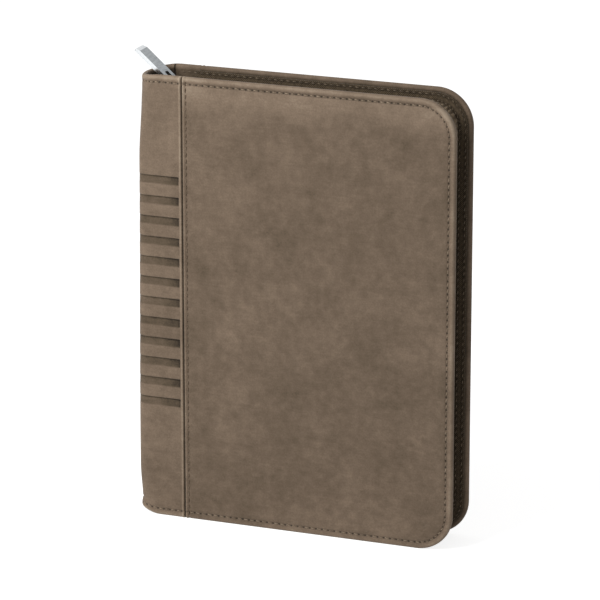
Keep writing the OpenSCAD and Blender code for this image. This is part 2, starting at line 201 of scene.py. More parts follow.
# %% Nodes as formulas
class Wire:
    """A value in a node tree; the usual signs add Math nodes to the tree."""

    def __init__(self, tree, socket):
        self.tree = tree
        self.socket = socket

    def other(self, output):
        """Another output of the same node."""
        return Wire(self.tree, self.socket.node.outputs[output])

    def combined(self, operation, other=0.0):
        """Math node of this value and another one."""
        return self.tree.add("ShaderNodeMath", {"operation": operation}, {0: self, 1: other})

    def __rsub__(self, other):
        return self.tree.add("ShaderNodeMath", {"operation": "SUBTRACT"}, {0: other, 1: self})

    __add__ = __radd__ = partialmethod(combined, "ADD")
    __mul__ = __rmul__ = partialmethod(combined, "MULTIPLY")
    __sub__ = partialmethod(combined, "SUBTRACT")
    __truediv__ = partialmethod(combined, "DIVIDE")
    fraction = partialmethod(combined, "FRACT")
    sine = partialmethod(combined, "SINE")
    size = partialmethod(combined, "ABSOLUTE")
    most = partialmethod(combined, "MAXIMUM")

    def below(self, limit, soft):
        """1 under the limit, 0 above it, with a soft step between."""
        return self.tree.add(
            "ShaderNodeMapRange", {"interpolation_type": "SMOOTHSTEP", "clamp": True},
            {"Value": self, "From Min": limit - soft, "From Max": limit + soft, "To Min": 1.0, "To Max": 0.0})


class Tree:
    """The nodes of a material or a world."""

    def __init__(self, owner):
        owner.use_nodes = True
        self.nodes = owner.node_tree.nodes
        self.links = owner.node_tree.links

    def add(self, kind, settings=None, sockets=None, output=0):
        """Any node: its type, its settings, and the values or wires of its sockets."""
        node = self.nodes.new(kind)
        for key, value in (settings or {}).items():
            if key == "stops":
                ramp = node.color_ramp
                while len(ramp.elements) < len(value):
                    ramp.elements.new(0.5)
                for element, (place, colour) in zip(ramp.elements, value):
                    element.position = place
                    element.color = (*colour, 1.0)
            else:
                setattr(node, key, value)
        self.plug(node, sockets or {})
        return Wire(self, node.outputs[output])

    def plug(self, node, sockets):
        for key, value in sockets.items():
            if isinstance(value, Wire):
                self.links.new(value.socket, node.inputs[key])
            else:
                node.inputs[key].default_value = value

# %% [markdown]
# A finish is such a tree with one Principled shader at its end. The methods below are the few nodes that
# come back in leather, cloth, metal and paper: a noise fixed to the piece, a ramp of colours, a mix of two
# colours and a bump. A constant is set on the shader's own socket, without a node.

# %% Finishes
class Finish(Tree):
    """A procedural material that ends in one Principled shader."""

    def __init__(self, name, **constants):
        self.material = bpy.data.materials.new(name)
        super().__init__(self.material)
        self.shader = self.nodes["Principled BSDF"]
        self.shade(**constants)

    def shade(self, **sockets):
        self.plug(self.shader, {key.replace("_", " "): value for key, value in sockets.items()})
        return self.material

    def place(self):
        return self.add("ShaderNodeTexCoord", output="Object")

    def attribute(self, name, output="Fac"):
        return self.add("ShaderNodeAttribute", {"attribute_name": name}, output=output)

    def run_axes(self):
        """The three numbers of the run attribute, each as a wire."""
        along = self.add("ShaderNodeSeparateXYZ", {}, {0: self.attribute("run", "Vector")})
        return along, along.other(1), along.other(2)

    def noise(self, scale, detail=2.0, rough=0.5, stretch=None):
        """Noise of that many lumps in a metre, about 0 to 1; a smaller stretch makes it longer on an axis."""
        vector = self.place()
        if stretch:
            vector = self.add("ShaderNodeMapping", {}, {"Vector": vector, "Scale": stretch})
        return self.add("ShaderNodeTexNoise", {},
                        {"Vector": vector, "Scale": scale, "Detail": detail, "Roughness": rough})

    def ramp(self, value, stops):
        return self.add("ShaderNodeValToRGB", {"stops": stops}, {"Fac": value})

    def mix(self, share, first, second):
        """Colour that goes from first to second as the share goes from 0 to 1."""
        return self.add("ShaderNodeMix", {"data_type": "RGBA"}, {0: share, 6: first, 7: second}, output=2)

    def bump(self, height, depth, strength=1.0):
        return self.add("ShaderNodeBump", {},
                        {"Height": height, "Distance": depth * MM, "Strength": strength})


def tint(red, green, blue):
    """Linear colour of three display values from 0 to 255."""
    share = np.array([red, green, blue]) / 255
    return tuple(np.where(share > 0.04045, ((share + 0.055) / 1.055) ** 2.4, share / 12.92))


def opaque(colour):
    return (*colour, 1.0)


print("middle grey as a linear colour:", round(float(tint(128, 128, 128)[0]), 3))

# %% [markdown]
# ## Leather
# The case is covered in a soft, brushed leatherette. Its colour is never even: cloudy patches one to four
# centimetres wide drift into each other, with a finer mottle, faint level streaks and a short nap on top.
# A picture of leather would repeat and bring its own light along, so five noises of different sizes are
# added up and sent through a ramp of taupes. The tone attribute pushes the sum down with painted shade in
# grooves, creases and recesses, and in pressed bars, whose own colour the hot tool darkens too. It pushes
# the sum up on the edges, partly rubbed wear and partly painted highlight. The run attribute gives the
# needle holes, painted as dark spots of shade.

# %% Leather finish
STITCH_PITCH = 3.5
HOLE_SQUARED, HOLE_SOFT = 0.3, 0.2
LEATHER_STOPS = [
    (0.0, tint(38, 29, 19)),
    (0.3, tint(92, 78, 61)),
    (0.5, tint(115, 98, 81)),
    (0.72, tint(138, 119, 100)),
    (1.0, tint(170, 152, 131)),
]


def make_leather(name, stops):
    """Colour: a ramp of 0.5 plus weighted noises and tone (painted highlight and shade), darkened with
    painted shade in round needle holes one pitch apart.
    Height for the bump: the nap, small pores and the mottle."""
    leather = Finish(name, Specular_IOR_Level=0.28, Sheen_Weight=0.12, Sheen_Roughness=0.5)
    cloud = leather.noise(52, 2.5, 0.55) - 0.5
    drift = leather.noise(24, 1.0, 0.5, stretch=(1.0, 1.0, 0.7)) - 0.5
    mottle = leather.noise(210, 3.0, 0.6) - 0.5
    nap = leather.noise(1150, 3.0, 0.65) - 0.5
    streak = leather.noise(420, 2.0, 0.5, stretch=(0.35, 1.0, 2.2)) - 0.5
    tone = leather.attribute("tone")
    value = 0.5 + cloud * 0.34 + drift * 0.24 + mottle * 0.3 + streak * 0.14 + nap * 0.4 + tone * 0.5
    along, across, marked = leather.run_axes()
    # Needle holes are painted shade: round spots one pitch apart, darkened towards the darkest stop.
    from_hole = ((along / STITCH_PITCH).fraction() - 0.5) * STITCH_PITCH
    hole = (from_hole * from_hole + across * across).below(HOLE_SQUARED, HOLE_SOFT) * marked
    colour = leather.mix(hole * 0.78, leather.ramp(value, stops), opaque(stops[0][1]))
    pores = leather.add("ShaderNodeTexVoronoi", {"feature": "F1"}, {"Vector": leather.place(), "Scale": 1300})
    return leather.shade(Base_Color=colour, Roughness=0.74 - cloud * 0.16 - tone * 0.1 + nap * 0.12,
                         Normal=leather.bump(nap * 0.7 + pores * 0.5 + mottle * 0.8, 0.16, 0.5))


leather = make_leather("brushed_leather", LEATHER_STOPS)
print("leather nodes:", len(leather.node_tree.nodes))

# %% [markdown]
# ## Cover panels
# A cover is a board wrapped in leather: inside there is a turned-in lip, then a rounded nose, then the
# face with a soft bead, the stitch groove and a shallow swell behind it. Two measures place a point of that
# section: q is how far it lies in from the open edge, and s how deep under the outer face. A section that
# is drawn once and carried along the edge keeps three sides and two corners alike.

# %% Section of a cover
STITCH_IN, TURN_IN, NOSE_Q = 3.75, 12.0, 1.4
LIP_Q = np.array([TURN_IN, 11.92, 11.75, 11.4, 10.5, 9, 7.5, 6, 5, 4.2, 3.5, 2.8, 2.1])
FACE_Q = np.array([NOSE_Q, 1.7, 2.0, 2.4, 2.75, 3.0, 3.2, 3.45, 3.62, STITCH_IN, 3.88, 4.05, 4.3, 4.6, 5.0,
                   5.6, 6.4, 7.4, 8.6, 10, TURN_IN])
TURNED = 0.2  # leather whose normal looks inward by more than this is inside the case


def rolled_section():
    """Leather rolled over a board, from the lip to the face: columns q, s and the outward normal in q and s.
    The nose is a half ellipse, q = NOSE_Q (1 - cos a) and s = half the thickness times (1 + sin a)."""
    half = COVER_T / 2
    angle = np.radians(np.linspace(84, -84, 11))
    nose = together(NOSE_Q * (1 - np.cos(angle)), half * (1 + np.sin(angle)), -np.cos(angle), np.sin(angle))
    return np.concatenate([together(LIP_Q, COVER_T, 0, 1), nose, together(FACE_Q, 0, 0, -1)])


def head_section():
    """The same section at the head of the case, from the face to the lip, with the height in place of q."""
    return rolled_section()[::-1] * [-1, 1, -1, 1] + [CASE_H, 0, 0, 0]


def from_edge(z):
    """Distance of a height from the foot or the head, whichever is nearer."""
    return np.minimum(z, CASE_H - z)


def rim_height(q, outside):
    """How far the leather stands proud at q: bead, stitch groove and swell outside, a rolled end inside."""
    outer = 0.28 * hump(q, 1.9, 1.0) - 0.32 * hump(q, STITCH_IN, 0.5) + 0.16 * hump(q, 6.6, 2.2)
    inner = 0.12 * hump(q, 2.0, 0.9) - 0.45 * ease(q, TURN_IN - 0.45, TURN_IN)
    return np.where(outside, outer * (1 - ease(q, 9.5, TURN_IN)), inner)


def rim_wear_highlight_shade(q, outside):
    """Paler on the edge, partly rubbed wear and partly painted highlight; painted shade in the stitch groove,
    and dark painted shade where the leather is turned in inside the case.
    """
    outer = 0.6 * hump(q, 1.1, 1.3) - 0.12 * hump(q, STITCH_IN, 0.5)
    return np.where(outside, outer, 0.1 - 1.1 * ease(q, 1.5, 2.9))


def head_highlight_foot_shade(z):
    """Painted highlight below the stitches at the head, where the face curves towards the light, and painted
    shade on the edge at the foot."""
    deep = CASE_H - z
    head = ease(deep, STITCH_IN + 0.3, STITCH_IN + 1) * (1 - ease(deep, 8, 22))
    return 0.4 * head - 0.28 * (1 - ease(z, 1.2, 3.4))


print("section points:", len(rolled_section()))

# %% [markdown]
# The fourth side of a cover is the seam beside the spine. There the leather turns over a narrow ridge, and
# stitches lie in a shallow groove next to it. All this depends on one number, the distance d from the
# seam, so heights and tones are small functions that the panel and the spine can share.

# %% Seam beside the spine
SEAM_STITCH, SEAM_TURN_R = 2.0, 0.6
COVER_RIDGE, SPINE_RIDGE = 0.7, 0.95
GROOVE_DEEP, SEAM_SHADE = 0.15, 2.2


def seam_groove(d):
    """Share of the groove under the stitches beside the seam: a bell about SEAM_STITCH."""
    return hump(d, SEAM_STITCH, 0.45)


def seam_height(d, ridge):
    """Leather turned over at the seam: a quarter round that falls to the seam, and a ridge at the distance
    ridge."""
    inward = np.clip(SEAM_TURN_R - d, 0, SEAM_TURN_R)
    turn = SEAM_TURN_R - np.sqrt(np.clip(SEAM_TURN_R ** 2 - inward ** 2, 0, None))
    return 0.26 * hump(d, ridge, 0.5) - turn


def seam_share(out_s):
    """How far the seam is open: 1 on the face, closing over the nose to 0 on the lip."""
    return ease(-out_s, -TURNED, 0.9)


def seam_highlight_and_shade(d):
    """Painted highlight on the ridge, painted shade in the groove: one bell less another."""
    return 0.4 * hump(d, 0.75, 0.5) - 0.1 * seam_groove(d)


print(f"the turned edge falls by {-seam_height(0.0, COVER_RIDGE):.2f} mm")

# %% [markdown]
# A path follows the three open edges of a cover. It could be a Blender curve with a bevel, but then the
# lip, the face and the thread could not be placed from the same numbers. Here it is a list of points, each
# with the direction into the cover, so that anything at a distance q from the edge is one sum away.

# %% Paths along the edges
CORNER_R = 20.0
CORNER_X = FORE_X - CORNER_R
EDGE_STEP = 1.1
END_STEPS = np.array([0, 0.05, 0.14, 0.27, 0.42, 0.6, 0.8, 1.05, 1.35, 1.6, 1.85, 2.1, 2.5, 3.0, 3.6])
PLAIN_END = np.zeros(1)


def edge_path(x0, ends=END_STEPS, step=EDGE_STEP):
    """Open edge of a cover from x0 along the foot, up the fore-edge and back along the head.
    Straight runs and quarter circles follow each other; columns x, z and the normal into the cover. The
    first steps from x0, and the last to it, are those in ends."""
    run = np.concatenate([ends, np.linspace(ends[-1] + step, CORNER_X - x0, int((CORNER_X - x0) / step))])
    turn = np.radians(np.linspace(-90, 0, int(CORNER_R * math.pi / 2 / step) + 1)[1:-1])
    rise = np.linspace(CORNER_R, CASE_H - CORNER_R, int((CASE_H - 2 * CORNER_R) / step))
    foot = together(x0 + run, 0, 0, 1)
    corner = together(CORNER_X + CORNER_R * np.cos(turn), CORNER_R * (1 + np.sin(turn)),
                      -np.cos(turn), -np.sin(turn))
    head = np.concatenate([foot, corner])[::-1] * [1, -1, 1, -1] + [0, CASE_H, 0, 0]
    return np.concatenate([foot, corner, together(FORE_X, rise, -1, 0), head])


def inside_edge(path, q):
    """Points of an edge path moved into the cover by q: columns x and z."""
    return path[:, :2] + q * path[:, 2:]


def run_length(points):
    """Distance along a line of points: the sum of the steps up to each."""
    steps = np.linalg.norm(np.diff(points, axis=0), axis=1)
    return np.concatenate([[0], np.cumsum(steps)])


def at_places(places, along, values):
    """Values at other places along a line, on the straight lines between its points."""
    return together(*(np.interp(places, along, column) for column in values.T))


def on_cover(x, z, s, side):
    """Points at x and z, s under the outer face of the front (side -1) or back (side 1) cover."""
    return together(x, side * (HALF_D - s), z)


print("path points:", len(edge_path(PANEL_X)))

# %% [markdown]
# Leather laid by hand is never quite flat, so faces get slight waves. A flat with round corners could be
# one large face, but that could not wave. It is filled by rings, each the same outline drawn in a little
# further, down to a pole in the middle, so that the grid's lines follow the edge.

# %% Waves and rings
RING_STEPS = np.concatenate([END_STEPS, [4.6, 6, 8, 11, 15, 21, 29, 39, 51, 63]])


def unevenness(x, z):
    """Slight waves of hand-laid leather: a product of sines in x and z, plus two slanting sines."""
    return (0.10 * np.sin(x / 15.0 + 1.3) * np.sin(z / 21.0 + 0.4) + 0.06 * np.sin(x / 8.0 + z / 11.0)
            + 0.05 * np.sin(z / 6.5 - x / 17.0 + 2.0))


def rings(loop, steps):
    """A closed outline drawn in by each step that fits, and at last to a pole: the outline is scaled about
    the middle of its box so that each side moves in by the step. Returns the insets and the rings."""
    low, high = loop.min(0), loop.max(0)
    middle, half = (low + high) / 2, (high - low) / 2
    inset = steps[steps < 0.92 * half.min()][:, None]
    scale = np.concatenate([1 - inset / half, [[0, 0]]])
    return np.append(inset, half.min())[:, None], middle + (loop - middle)[None] * scale[:, None, :]


print("rings on a face:", len(RING_STEPS))

# %% [markdown]
# The rim of a panel is the section carried along the path, and rings fill the flat inside it. A strip of
# leather under the seam closes the gap between the panel and the spine.

# %% Cover panels
COVER_LEATHER_T, FACE_STEP = 0.7, 0.9
LAP_DEEP, LAP_REACH = 0.5, 0.5
NO_SEAM = 99.0


def cover_rim(side):
    """The rolled section along the open edge, up to the seam at both ends: each point of the section moves
    along its normal by the height of the rim and the seam."""
    path = edge_path(PANEL_X)
    x, z, into_x, into_z = path.T[:, :, None]
    q, s, out_q, out_s = rolled_section().T[:, None]
    d = np.where(np.abs(into_z) > 0.5, x - PANEL_X, NO_SEAM)
    outside = out_s < TURNED
    seam = seam_height(d, COVER_RIDGE) * seam_share(out_s)
    height = rim_height(q, outside) + seam - GROOVE_DEEP * seam_groove(d) * outside
    deep_q = q + height * out_q
    points = on_cover(x + deep_q * into_x, z + deep_q * into_z, s + height * out_s, side)
    # Tone: the rim's rubbed wear with painted highlight and shade, painted shade at the seam, and painted
    # highlight at the head with painted shade at the foot.
    tone = rim_wear_highlight_shade(q, outside) + SEAM_SHADE * np.minimum(seam, 0) \
        + (seam_highlight_and_shade(d) + head_highlight_foot_shade(z + q * into_z)) * outside
    holes = together(run_length(path[:, :2])[:, None], q - STITCH_IN, outside & (d > 1))
    return grid(points, tone, holes, flip=side == FRONT)


def cover_face(side):
    """The flat inside the rim, as rings, with the turned edge at the seam and waves that fade at the rim."""
    inner = inside_edge(edge_path(PANEL_X), TURN_IN)
    down = np.linspace(inner[-1], inner[0], int((CASE_H - 2 * TURN_IN) / FACE_STEP))[1:-1]
    _, loop = rings(np.concatenate([inner, down]), RING_STEPS)
    x, z = np.moveaxis(loop, -1, 0)
    d = x - PANEL_X
    seam = seam_height(d, COVER_RIDGE)
    inside = ease(from_edge(z), TURN_IN, TURN_IN + 8) * ease(FORE_X - x, TURN_IN, TURN_IN + 8) \
        * ease(d, 2.5, 9)
    lift = seam - GROOVE_DEEP * seam_groove(d) + unevenness(x, z) * inside
    # Tone: painted highlight on the seam's ridge and painted shade in its groove and turn, and painted
    # highlight at the head with painted shade at the foot.
    tone = seam_highlight_and_shade(d) + head_highlight_foot_shade(z) + SEAM_SHADE * np.minimum(seam, 0)
    return grid(on_cover(x, z, -lift, side), tone, wrap=True, flip=side == BACK)


def seam_lap(side):
    """Strip under the seam from lip to lip: LAP_DEEP under the leather on the face and flush on the lips."""
    z, s, out_z, out_s = np.concatenate([rolled_section(), head_section()]).T
    deep = LAP_DEEP * seam_share(out_s) + 0.02
    x = np.array([FLAP_X - LAP_REACH, PANEL_X + LAP_REACH])[:, None]
    # Tone: painted shade, darker the deeper the strip lies under the seam, and on the lips the rim's painted
    # shade of the turned-in leather.
    tone = rim_wear_highlight_shade(from_edge(z), False) * (out_s > TURNED) - 1.4 * deep
    return grid(on_cover(x, z - deep * out_z, s - deep * out_s, side), tone, flip=side == FRONT)


for cover, side in COVERS.items():
    panel = build(f"{cover}_leather", [cover_rim(side), cover_face(side), seam_lap(side)])
    dress(thicken(panel, COVER_LEATHER_T), leather, f"{cover}_cover", [f"{cover}_panel"])

# %% [markdown]
# ## Spine
# One piece of leather runs from the seam on the front cover over the hinge crease, round the spine and on
# to the seam at the back. Its form changes with the height: boxy in the middle of the case, round at the
# head, and nipped in above the hem at the foot. A superellipse goes from round to boxy by its power alone,
# so two of them are blended. A point on this leather is given by u, its distance from the seam, and z.

# %% Form of the spine
SPINE_T, SPINE_DROP = 2.7, spine_low[2]
FLAP_W = FLAP_X - CREASE_X
BEND_REACH = 3.5
BOX_DEPTH, ROUND_DEPTH, DRAWN_IN = 13.1, 14.0, 1.5
SQUARENESS = {FRONT: 5.0, BACK: 2.3}
TURN_POINTS, TURN_LENGTH = 60, 24


def spine_quarter(depth, power):
    """Quarter of the curve |x / depth|^power + |y / half the case|^power = 1, from the crease to the middle
    of the spine, in even steps: columns x, y for the front, and the outward normal in x and y."""
    angle = np.linspace(0, math.pi / 2, 10 * TURN_POINTS)
    curve = together(CREASE_X - depth * np.sin(angle) ** (2 / power), -HALF_D * np.cos(angle) ** (2 / power))
    along = run_length(curve)
    curve = at_places(np.linspace(0, along[-1], TURN_POINTS), along, curve)
    ahead = np.gradient(curve, axis=0)
    ahead = ahead / np.linalg.norm(ahead, axis=1, keepdims=True)
    return np.concatenate([curve, -ahead[:, 1:], ahead[:, :1]], 1)[1:]


def spine_surface(side, z, start=-1.0):
    """Leather from the seam to the middle of the spine, at each height z: a straight run to the crease, then
    a curve that is boxy in the middle of the case, round at the head and a little fuller below than above.
    Returns the distance u from the seam, from start on, and x, y and the outward normal in x and y, with u
    down the rows and z along the columns."""
    flat = np.concatenate([END_STEPS, np.linspace(4.4, FLAP_W - BEND_REACH, 9),
                           np.linspace(FLAP_W - BEND_REACH, FLAP_W, 9)[1:]])
    straight = together(FLAP_X - flat, -HALF_D, 0, -1)[:, None]
    round_turn = spine_quarter(ROUND_DEPTH, 2.0)
    box_turn = spine_quarter(BOX_DEPTH, SQUARENESS[side])
    boxy = (0.6 + 0.4 * ease(z, 3, 26)) * (1 - ease(z, CASE_H - 48, CASE_H - 4))
    turn = round_turn[:, None] + boxy[None, :, None] * (box_turn - round_turn)[:, None]
    slim = 1 - DRAWN_IN / BOX_DEPTH * ease(z, 30, CASE_H - 30)
    turn[..., 0] = CREASE_X + (turn[..., 0] - CREASE_X) * slim
    line = np.concatenate([np.broadcast_to(straight, (len(flat), len(z), 4)), turn])
    u = np.concatenate([flat, FLAP_W + np.linspace(0, TURN_LENGTH, TURN_POINTS)[1:]])
    x, y, out_x, out_y = np.moveaxis(line[u > start], -1, 0)
    return u[u > start, None], x, -side * y, out_x, -side * out_y


def under_spine(place, deep, z):
    """Points at the height z, deep under a place on the spine's leather: x, y and its outward normal."""
    x, y, out_x, out_y = place
    return together(x - deep * out_x, y - deep * out_y, z)


print(f"crease {FLAP_W:.1f} mm from the seam, spine {BOX_DEPTH - DRAWN_IN:.1f} mm deep at its slimmest")

# %% [markdown]
# The ends of the spine stand back from the edges of the covers, most of all in the middle, so that the pull
# can hang down at the head. Above the hem at the foot the leather is nipped in, and below it flares again.
# These are small numbers, but the outline of the spine shows them at once.

# %% Ends of the spine
FOOT_LIFT, PULL_ROOM = 2.4, 1.0


def round_share(u):
    """How far leather has left the cover: 0 before the crease and 1 on the round of the spine."""
    return ease(u, FLAP_W - 4, FLAP_W + 10)


def spine_drop(u, q, head):
    """How far the edge of the spine stands back from the edge of the covers, at u from the seam and q from
    the edge: it starts at the crease and fades over the turned-in width. At the foot it is larger, and at
    the head the middle of the spine is lower still, to clear the pull."""
    at_head = SPINE_DROP * round_share(u) + PULL_ROOM * ease(u, FLAP_W + 7, FLAP_W + 15)
    at_foot = FOOT_LIFT * ease(u, FLAP_W, FLAP_W + 14)
    return np.where(head, -at_head, at_foot) * np.clip(1 - q / TURN_IN, 0, 1)


def hem_pinch(z, u):
    """The spine draws in towards its foot, is nipped above the hem and flares again below it."""
    foot = 0.3 * (1 - ease(z, 9, 30)) * ease(z, 0, 8) + 0.6 * hump(z, 7.0, 0.9) - 0.3 * hump(z, 3.8, 1.8)
    head = 0.4 * ease(z, CASE_H - 16, CASE_H - 3)
    return (foot + head) * ease(u, FLAP_W - 2, FLAP_W + 9)


print(f"the spine stands back {FOOT_LIFT:.1f} mm at the foot, {SPINE_DROP + PULL_ROOM:.1f} mm at the head")

# %% [markdown]
# Twelve level bars are pressed across the spine by a hot tool, each with a sharp step at its head and a
# soft one at its foot. A bump in the material would vanish from the side, so the bars are part of the
# surface, and the grid has more heights where a bar begins and ends.

# %% Bars of the spine
BAR_COUNT, BAR_H, BAR_PITCH, BAR_RISE, BAR_DEPTH, BAR_END = 12, 4.75, 11.2, 3.75, 0.55, 1.9
BAR_STEPS = np.array([-3.2, -0.6, 0, 0.3, 0.7, 1.1, 1.5, 2.5, 3.5, 4.0, 4.4, 4.6, BAR_H, 4.85, 4.95, 5.05,
                      5.6])
PLAIN_STEP = 2.5


def bar_edges():
    """Lower edge of each pressed bar: a pitch apart, about a middle that lies BAR_RISE over the case's."""
    middle = CASE_H / 2 + BAR_RISE
    return middle - BAR_H / 2 + (np.arange(BAR_COUNT) - (BAR_COUNT - 1) / 2) * BAR_PITCH


def spine_levels():
    """Heights on the face between the two rims: close together at the edges of the bars."""
    low = bar_edges()
    below = np.arange(TURN_IN, low[0] - 4, PLAIN_STEP)[1:]
    above = np.arange(CASE_H - TURN_IN, low[-1] + BAR_H + 3, -PLAIN_STEP)[1:]
    return np.unique(np.concatenate([(low[:, None] + BAR_STEPS).ravel(), below, above]).round(3))


def pressed_bars(z, u):
    """Share of the way up in the bar at each height, from 0 at its foot to 1 at its head, and 1 inside a bar
    and 0 outside; the head is a sharp step, the foot a soft one, and the bar ends near the seam."""
    low = bar_edges()
    level = (z - low[0]) / BAR_PITCH
    up = (level - np.floor(level)) * BAR_PITCH / BAR_H
    inside = ease(up, 0.0, 0.18) * (1 - ease(up, 1.0, 1.06))
    among = (z > low[0] - 0.1) & (z < low[-1] + BAR_H + 1)
    return up, inside * among * ease(u, BAR_END - 0.16, BAR_END + 0.16)


def bar_burn_and_shade(u, up):
    """How dark a bar is: its own colour burnt by the tool, with painted shade added near the seam, most at
    its end, and a painted shadow under its sharp head.
    """
    near = 0.3 * (1 - ease(u, BAR_END, BAR_END + 12)) + 0.25 * (1 - ease(u, BAR_END, BAR_END + 1.5))
    return 0.5 + near + 0.35 * ease(up, 0.8, 0.95)


print("heights on the spine's face:", len(spine_levels()))

# %% [markdown]
# A piece can bend over one hinge at a time, so the spine's leather is made as two halves that meet in the
# middle of the spine. Each follows its cover on one side of the crease and the spine on the other. The
# section of the covers goes up one edge, over the face with its bars, and down into the other lip.

# %% Spine leather
SPINE_LEATHER_T = 0.3


def spine_half(side):
    """Half of the spine's leather, from the seam to the middle. The section is rolled at foot and head, and
    its face is lowered by the bars; past the crease its edges stand back from the cover's, by spine_drop."""
    section = np.concatenate([rolled_section(), together(spine_levels(), 0, 0, -1), head_section()])
    z, s, out_z, out_s = section.T[:, None]
    u, *place = spine_surface(side, z[0])
    q = from_edge(z)
    outside, at_edge = out_s < TURNED, q < TURN_IN + 0.1
    up, bars = pressed_bars(z, u)
    bars = bars * outside
    press = BAR_DEPTH * (1 - 0.75 * ease(u, FLAP_W + 3, FLAP_W + 14))
    seam = seam_height(u, SPINE_RIDGE) * seam_share(out_s)
    height = rim_height(q, outside) * at_edge + seam - press * bars * (0.3 + 0.7 * up)
    deep = s * (1 - round_share(u) * (1 - SPINE_T / COVER_T)) + height * out_s + hem_pinch(z, u)
    level = z + spine_drop(u, q, z > CASE_H / 2) + height * out_z
    turned_in = np.where(outside, 1, 0.45 + 0.55 * ease(u, FLAP_W - 1, FLAP_W + 1))
    # Tone: painted highlight on the ridge beside the seam, painted shade inside the crease and on the
    # turned-in rims, painted shade where the seam turns down, and in the bars their burnt colour with painted
    # shade.
    ridge, crease = 0.6 * hump(u, 0.9, 0.45) * outside, 2.0 * hump(u, FLAP_W, 0.5) * ~outside
    tone = 0.13 + rim_wear_highlight_shade(q, outside) * turned_in * at_edge - bars * bar_burn_and_shade(u, up) \
        + ridge + SEAM_SHADE * np.minimum(seam, 0) - crease
    holes = together(u, q - STITCH_IN, outside & (u > 1))
    return grid(under_spine(place, deep, level), tone, holes, flip=side == BACK)


def bend_at_crease(piece):
    """Bakes the piece's placement into its points."""
    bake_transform(piece)


for cover, side in COVERS.items():
    half = thicken(build(f"{cover}_spine_leather", [spine_half(side)]), SPINE_LEATHER_T)
    dress(half, leather, None, [f"{cover}_flap", "spine_panel"])
    bend_at_crease(half)

# %% [markdown]
# ## Thread
# Tone-on-tone thread runs about four millimetres inside every edge, beside both seams and along the tapes.
# It is twisted from strands, which show as fine slanting lines. A sine does that without a picture, because
# every point of the thread knows its distance along the stitch and its angle round it.

# %% Thread finish
def make_thread(name, dark, light):
    """Twisted yarn: a sine of the distance along plus the angle round the thread gives its strands."""
    thread = Finish(name, Specular_IOR_Level=0.35, Sheen_Weight=0.1)
    along, around, _ = thread.run_axes()
    twist = (along * 5.0 + around).sine()
    value = 0.42 + twist * 0.2 + thread.attribute("tone") * 0.4
    return thread.shade(Base_Color=thread.ramp(value, [(0.0, dark), (1.0, light)]),
                        Roughness=0.62 + twist * 0.08, Normal=thread.bump(twist, 0.06, 0.6))


thread = make_thread("taupe_thread", tint(94, 76, 58), tint(186, 166, 142))
tape_thread = make_thread("brown_thread", tint(60, 49, 36), tint(140, 121, 97))
print("thread nodes:", len(thread.node_tree.nodes))

# %% [markdown]
# Stitches could be painted on, but each one catches the light, so it is a short tube that dives into a
# needle hole at each end. One stitch is worked out as a small grid and repeated along a line by
# broadcasting, so a whole row costs no more than one formula.

# %% One row of stitches
STITCH_LEN, STITCH_R, STITCH_SINK, STITCH_SLANT = 2.3, 0.31, 0.14, 0.2


def stitch_line(along, points, normals, first=0.0, last=math.inf, pale=0.0, length=STITCH_LEN):
    """Stitches centred on every whole pitch of the distance along a line, each lying on the chord between
    its two ends, a little slanted: radius = R (1 - a^6) and lift = 0.25 R (1 - 2 a^2), with a from -1 to 1
    along it. A pale value above 0 makes the thread lighter, below 0 darker."""
    middle = np.arange(1, int(along[-1] / STITCH_PITCH) + 1) * STITCH_PITCH
    half = length / 2
    middle = middle[(middle > first) & (middle < min(last, along[-1] - half))]
    start, end = (at_places(place, along, points)[:, None, None] for place in (middle - half, middle + half))
    up = at_places(middle, along, normals)[:, None, None]
    beside = np.cross(end - start, up)
    beside = beside / np.linalg.norm(beside, axis=-1, keepdims=True)
    a = np.array([-1, -0.88, -0.5, 0, 0.5, 0.88, 1])[None, :, None, None]
    angle = np.radians(np.arange(0, 360, 60))[None, None, :, None]
    radius = STITCH_R * (1 - a ** 6)
    tubes = (start + end) / 2 + (end - start) / 2 * a + beside * (radius * np.sin(angle) + STITCH_SLANT * a) \
        + up * (radius * np.cos(angle) + 0.25 * STITCH_R * (1 - 2 * a * a))
    count, rows, columns = tubes.shape[:3]
    one = grid(tubes[0], wrap=True)["faces"]
    number = np.arange(count)
    fleck = 0.25 * np.sin(number * 2.4) + 0.25 * np.sin(number * 5.13)
    return {
        "points": tubes.reshape(-1, 3),
        "faces": (one[None] + (number * rows * columns)[:, None, None]).reshape(-1, 4),
        "tone": np.repeat(fleck + pale, rows * columns),
        "run": np.tile(together(a * half, angle, 0.0).reshape(-1, 3), (count, 1)),
    }


def facing(points, side):
    """Normals of a line of points that look out of the front (-1) or back (1)."""
    return np.broadcast_to([0.0, side, 0.0], points.shape)


print("stitches in ten centimetres:", int(100 / STITCH_PITCH))

# %% [markdown]
# Each row follows the same path or surface as the leather it is sewn to. Dark rows lie in the grooves
# beside the seams. Brown rows hold the tapes inside the case, and start on the bare lip at the crease. The
# rows on the spine follow the curve of its leather.

# %% Rows of stitches
# The seam's stitches are the same thread made darker by a tone offset: painted shade of the groove they lie
# in.
SEAM_STITCH_LEN, SEAM_STITCH_SINK, SEAM_STITCH_SHADE, SEAM_STITCH_END = 2.7, 0.02, -0.85, 3.2
TAPE_STITCH_LEN, LIP_STITCH_OVER, TAPE_STITCH_OVER = 2.1, 0.05, 0.72
TAPE_ROWS = (STITCH_IN, 7.0)
ROW_END_X = node_box("front_zip_tape")[0][0]


def rim_stitches(side):
    """Line of stitches on the face of a cover, along its open edge."""
    path = edge_path(PANEL_X)
    points = on_cover(*inside_edge(path, STITCH_IN).T, STITCH_SINK, side)
    return stitch_line(run_length(path[:, :2]), points, facing(points, side))


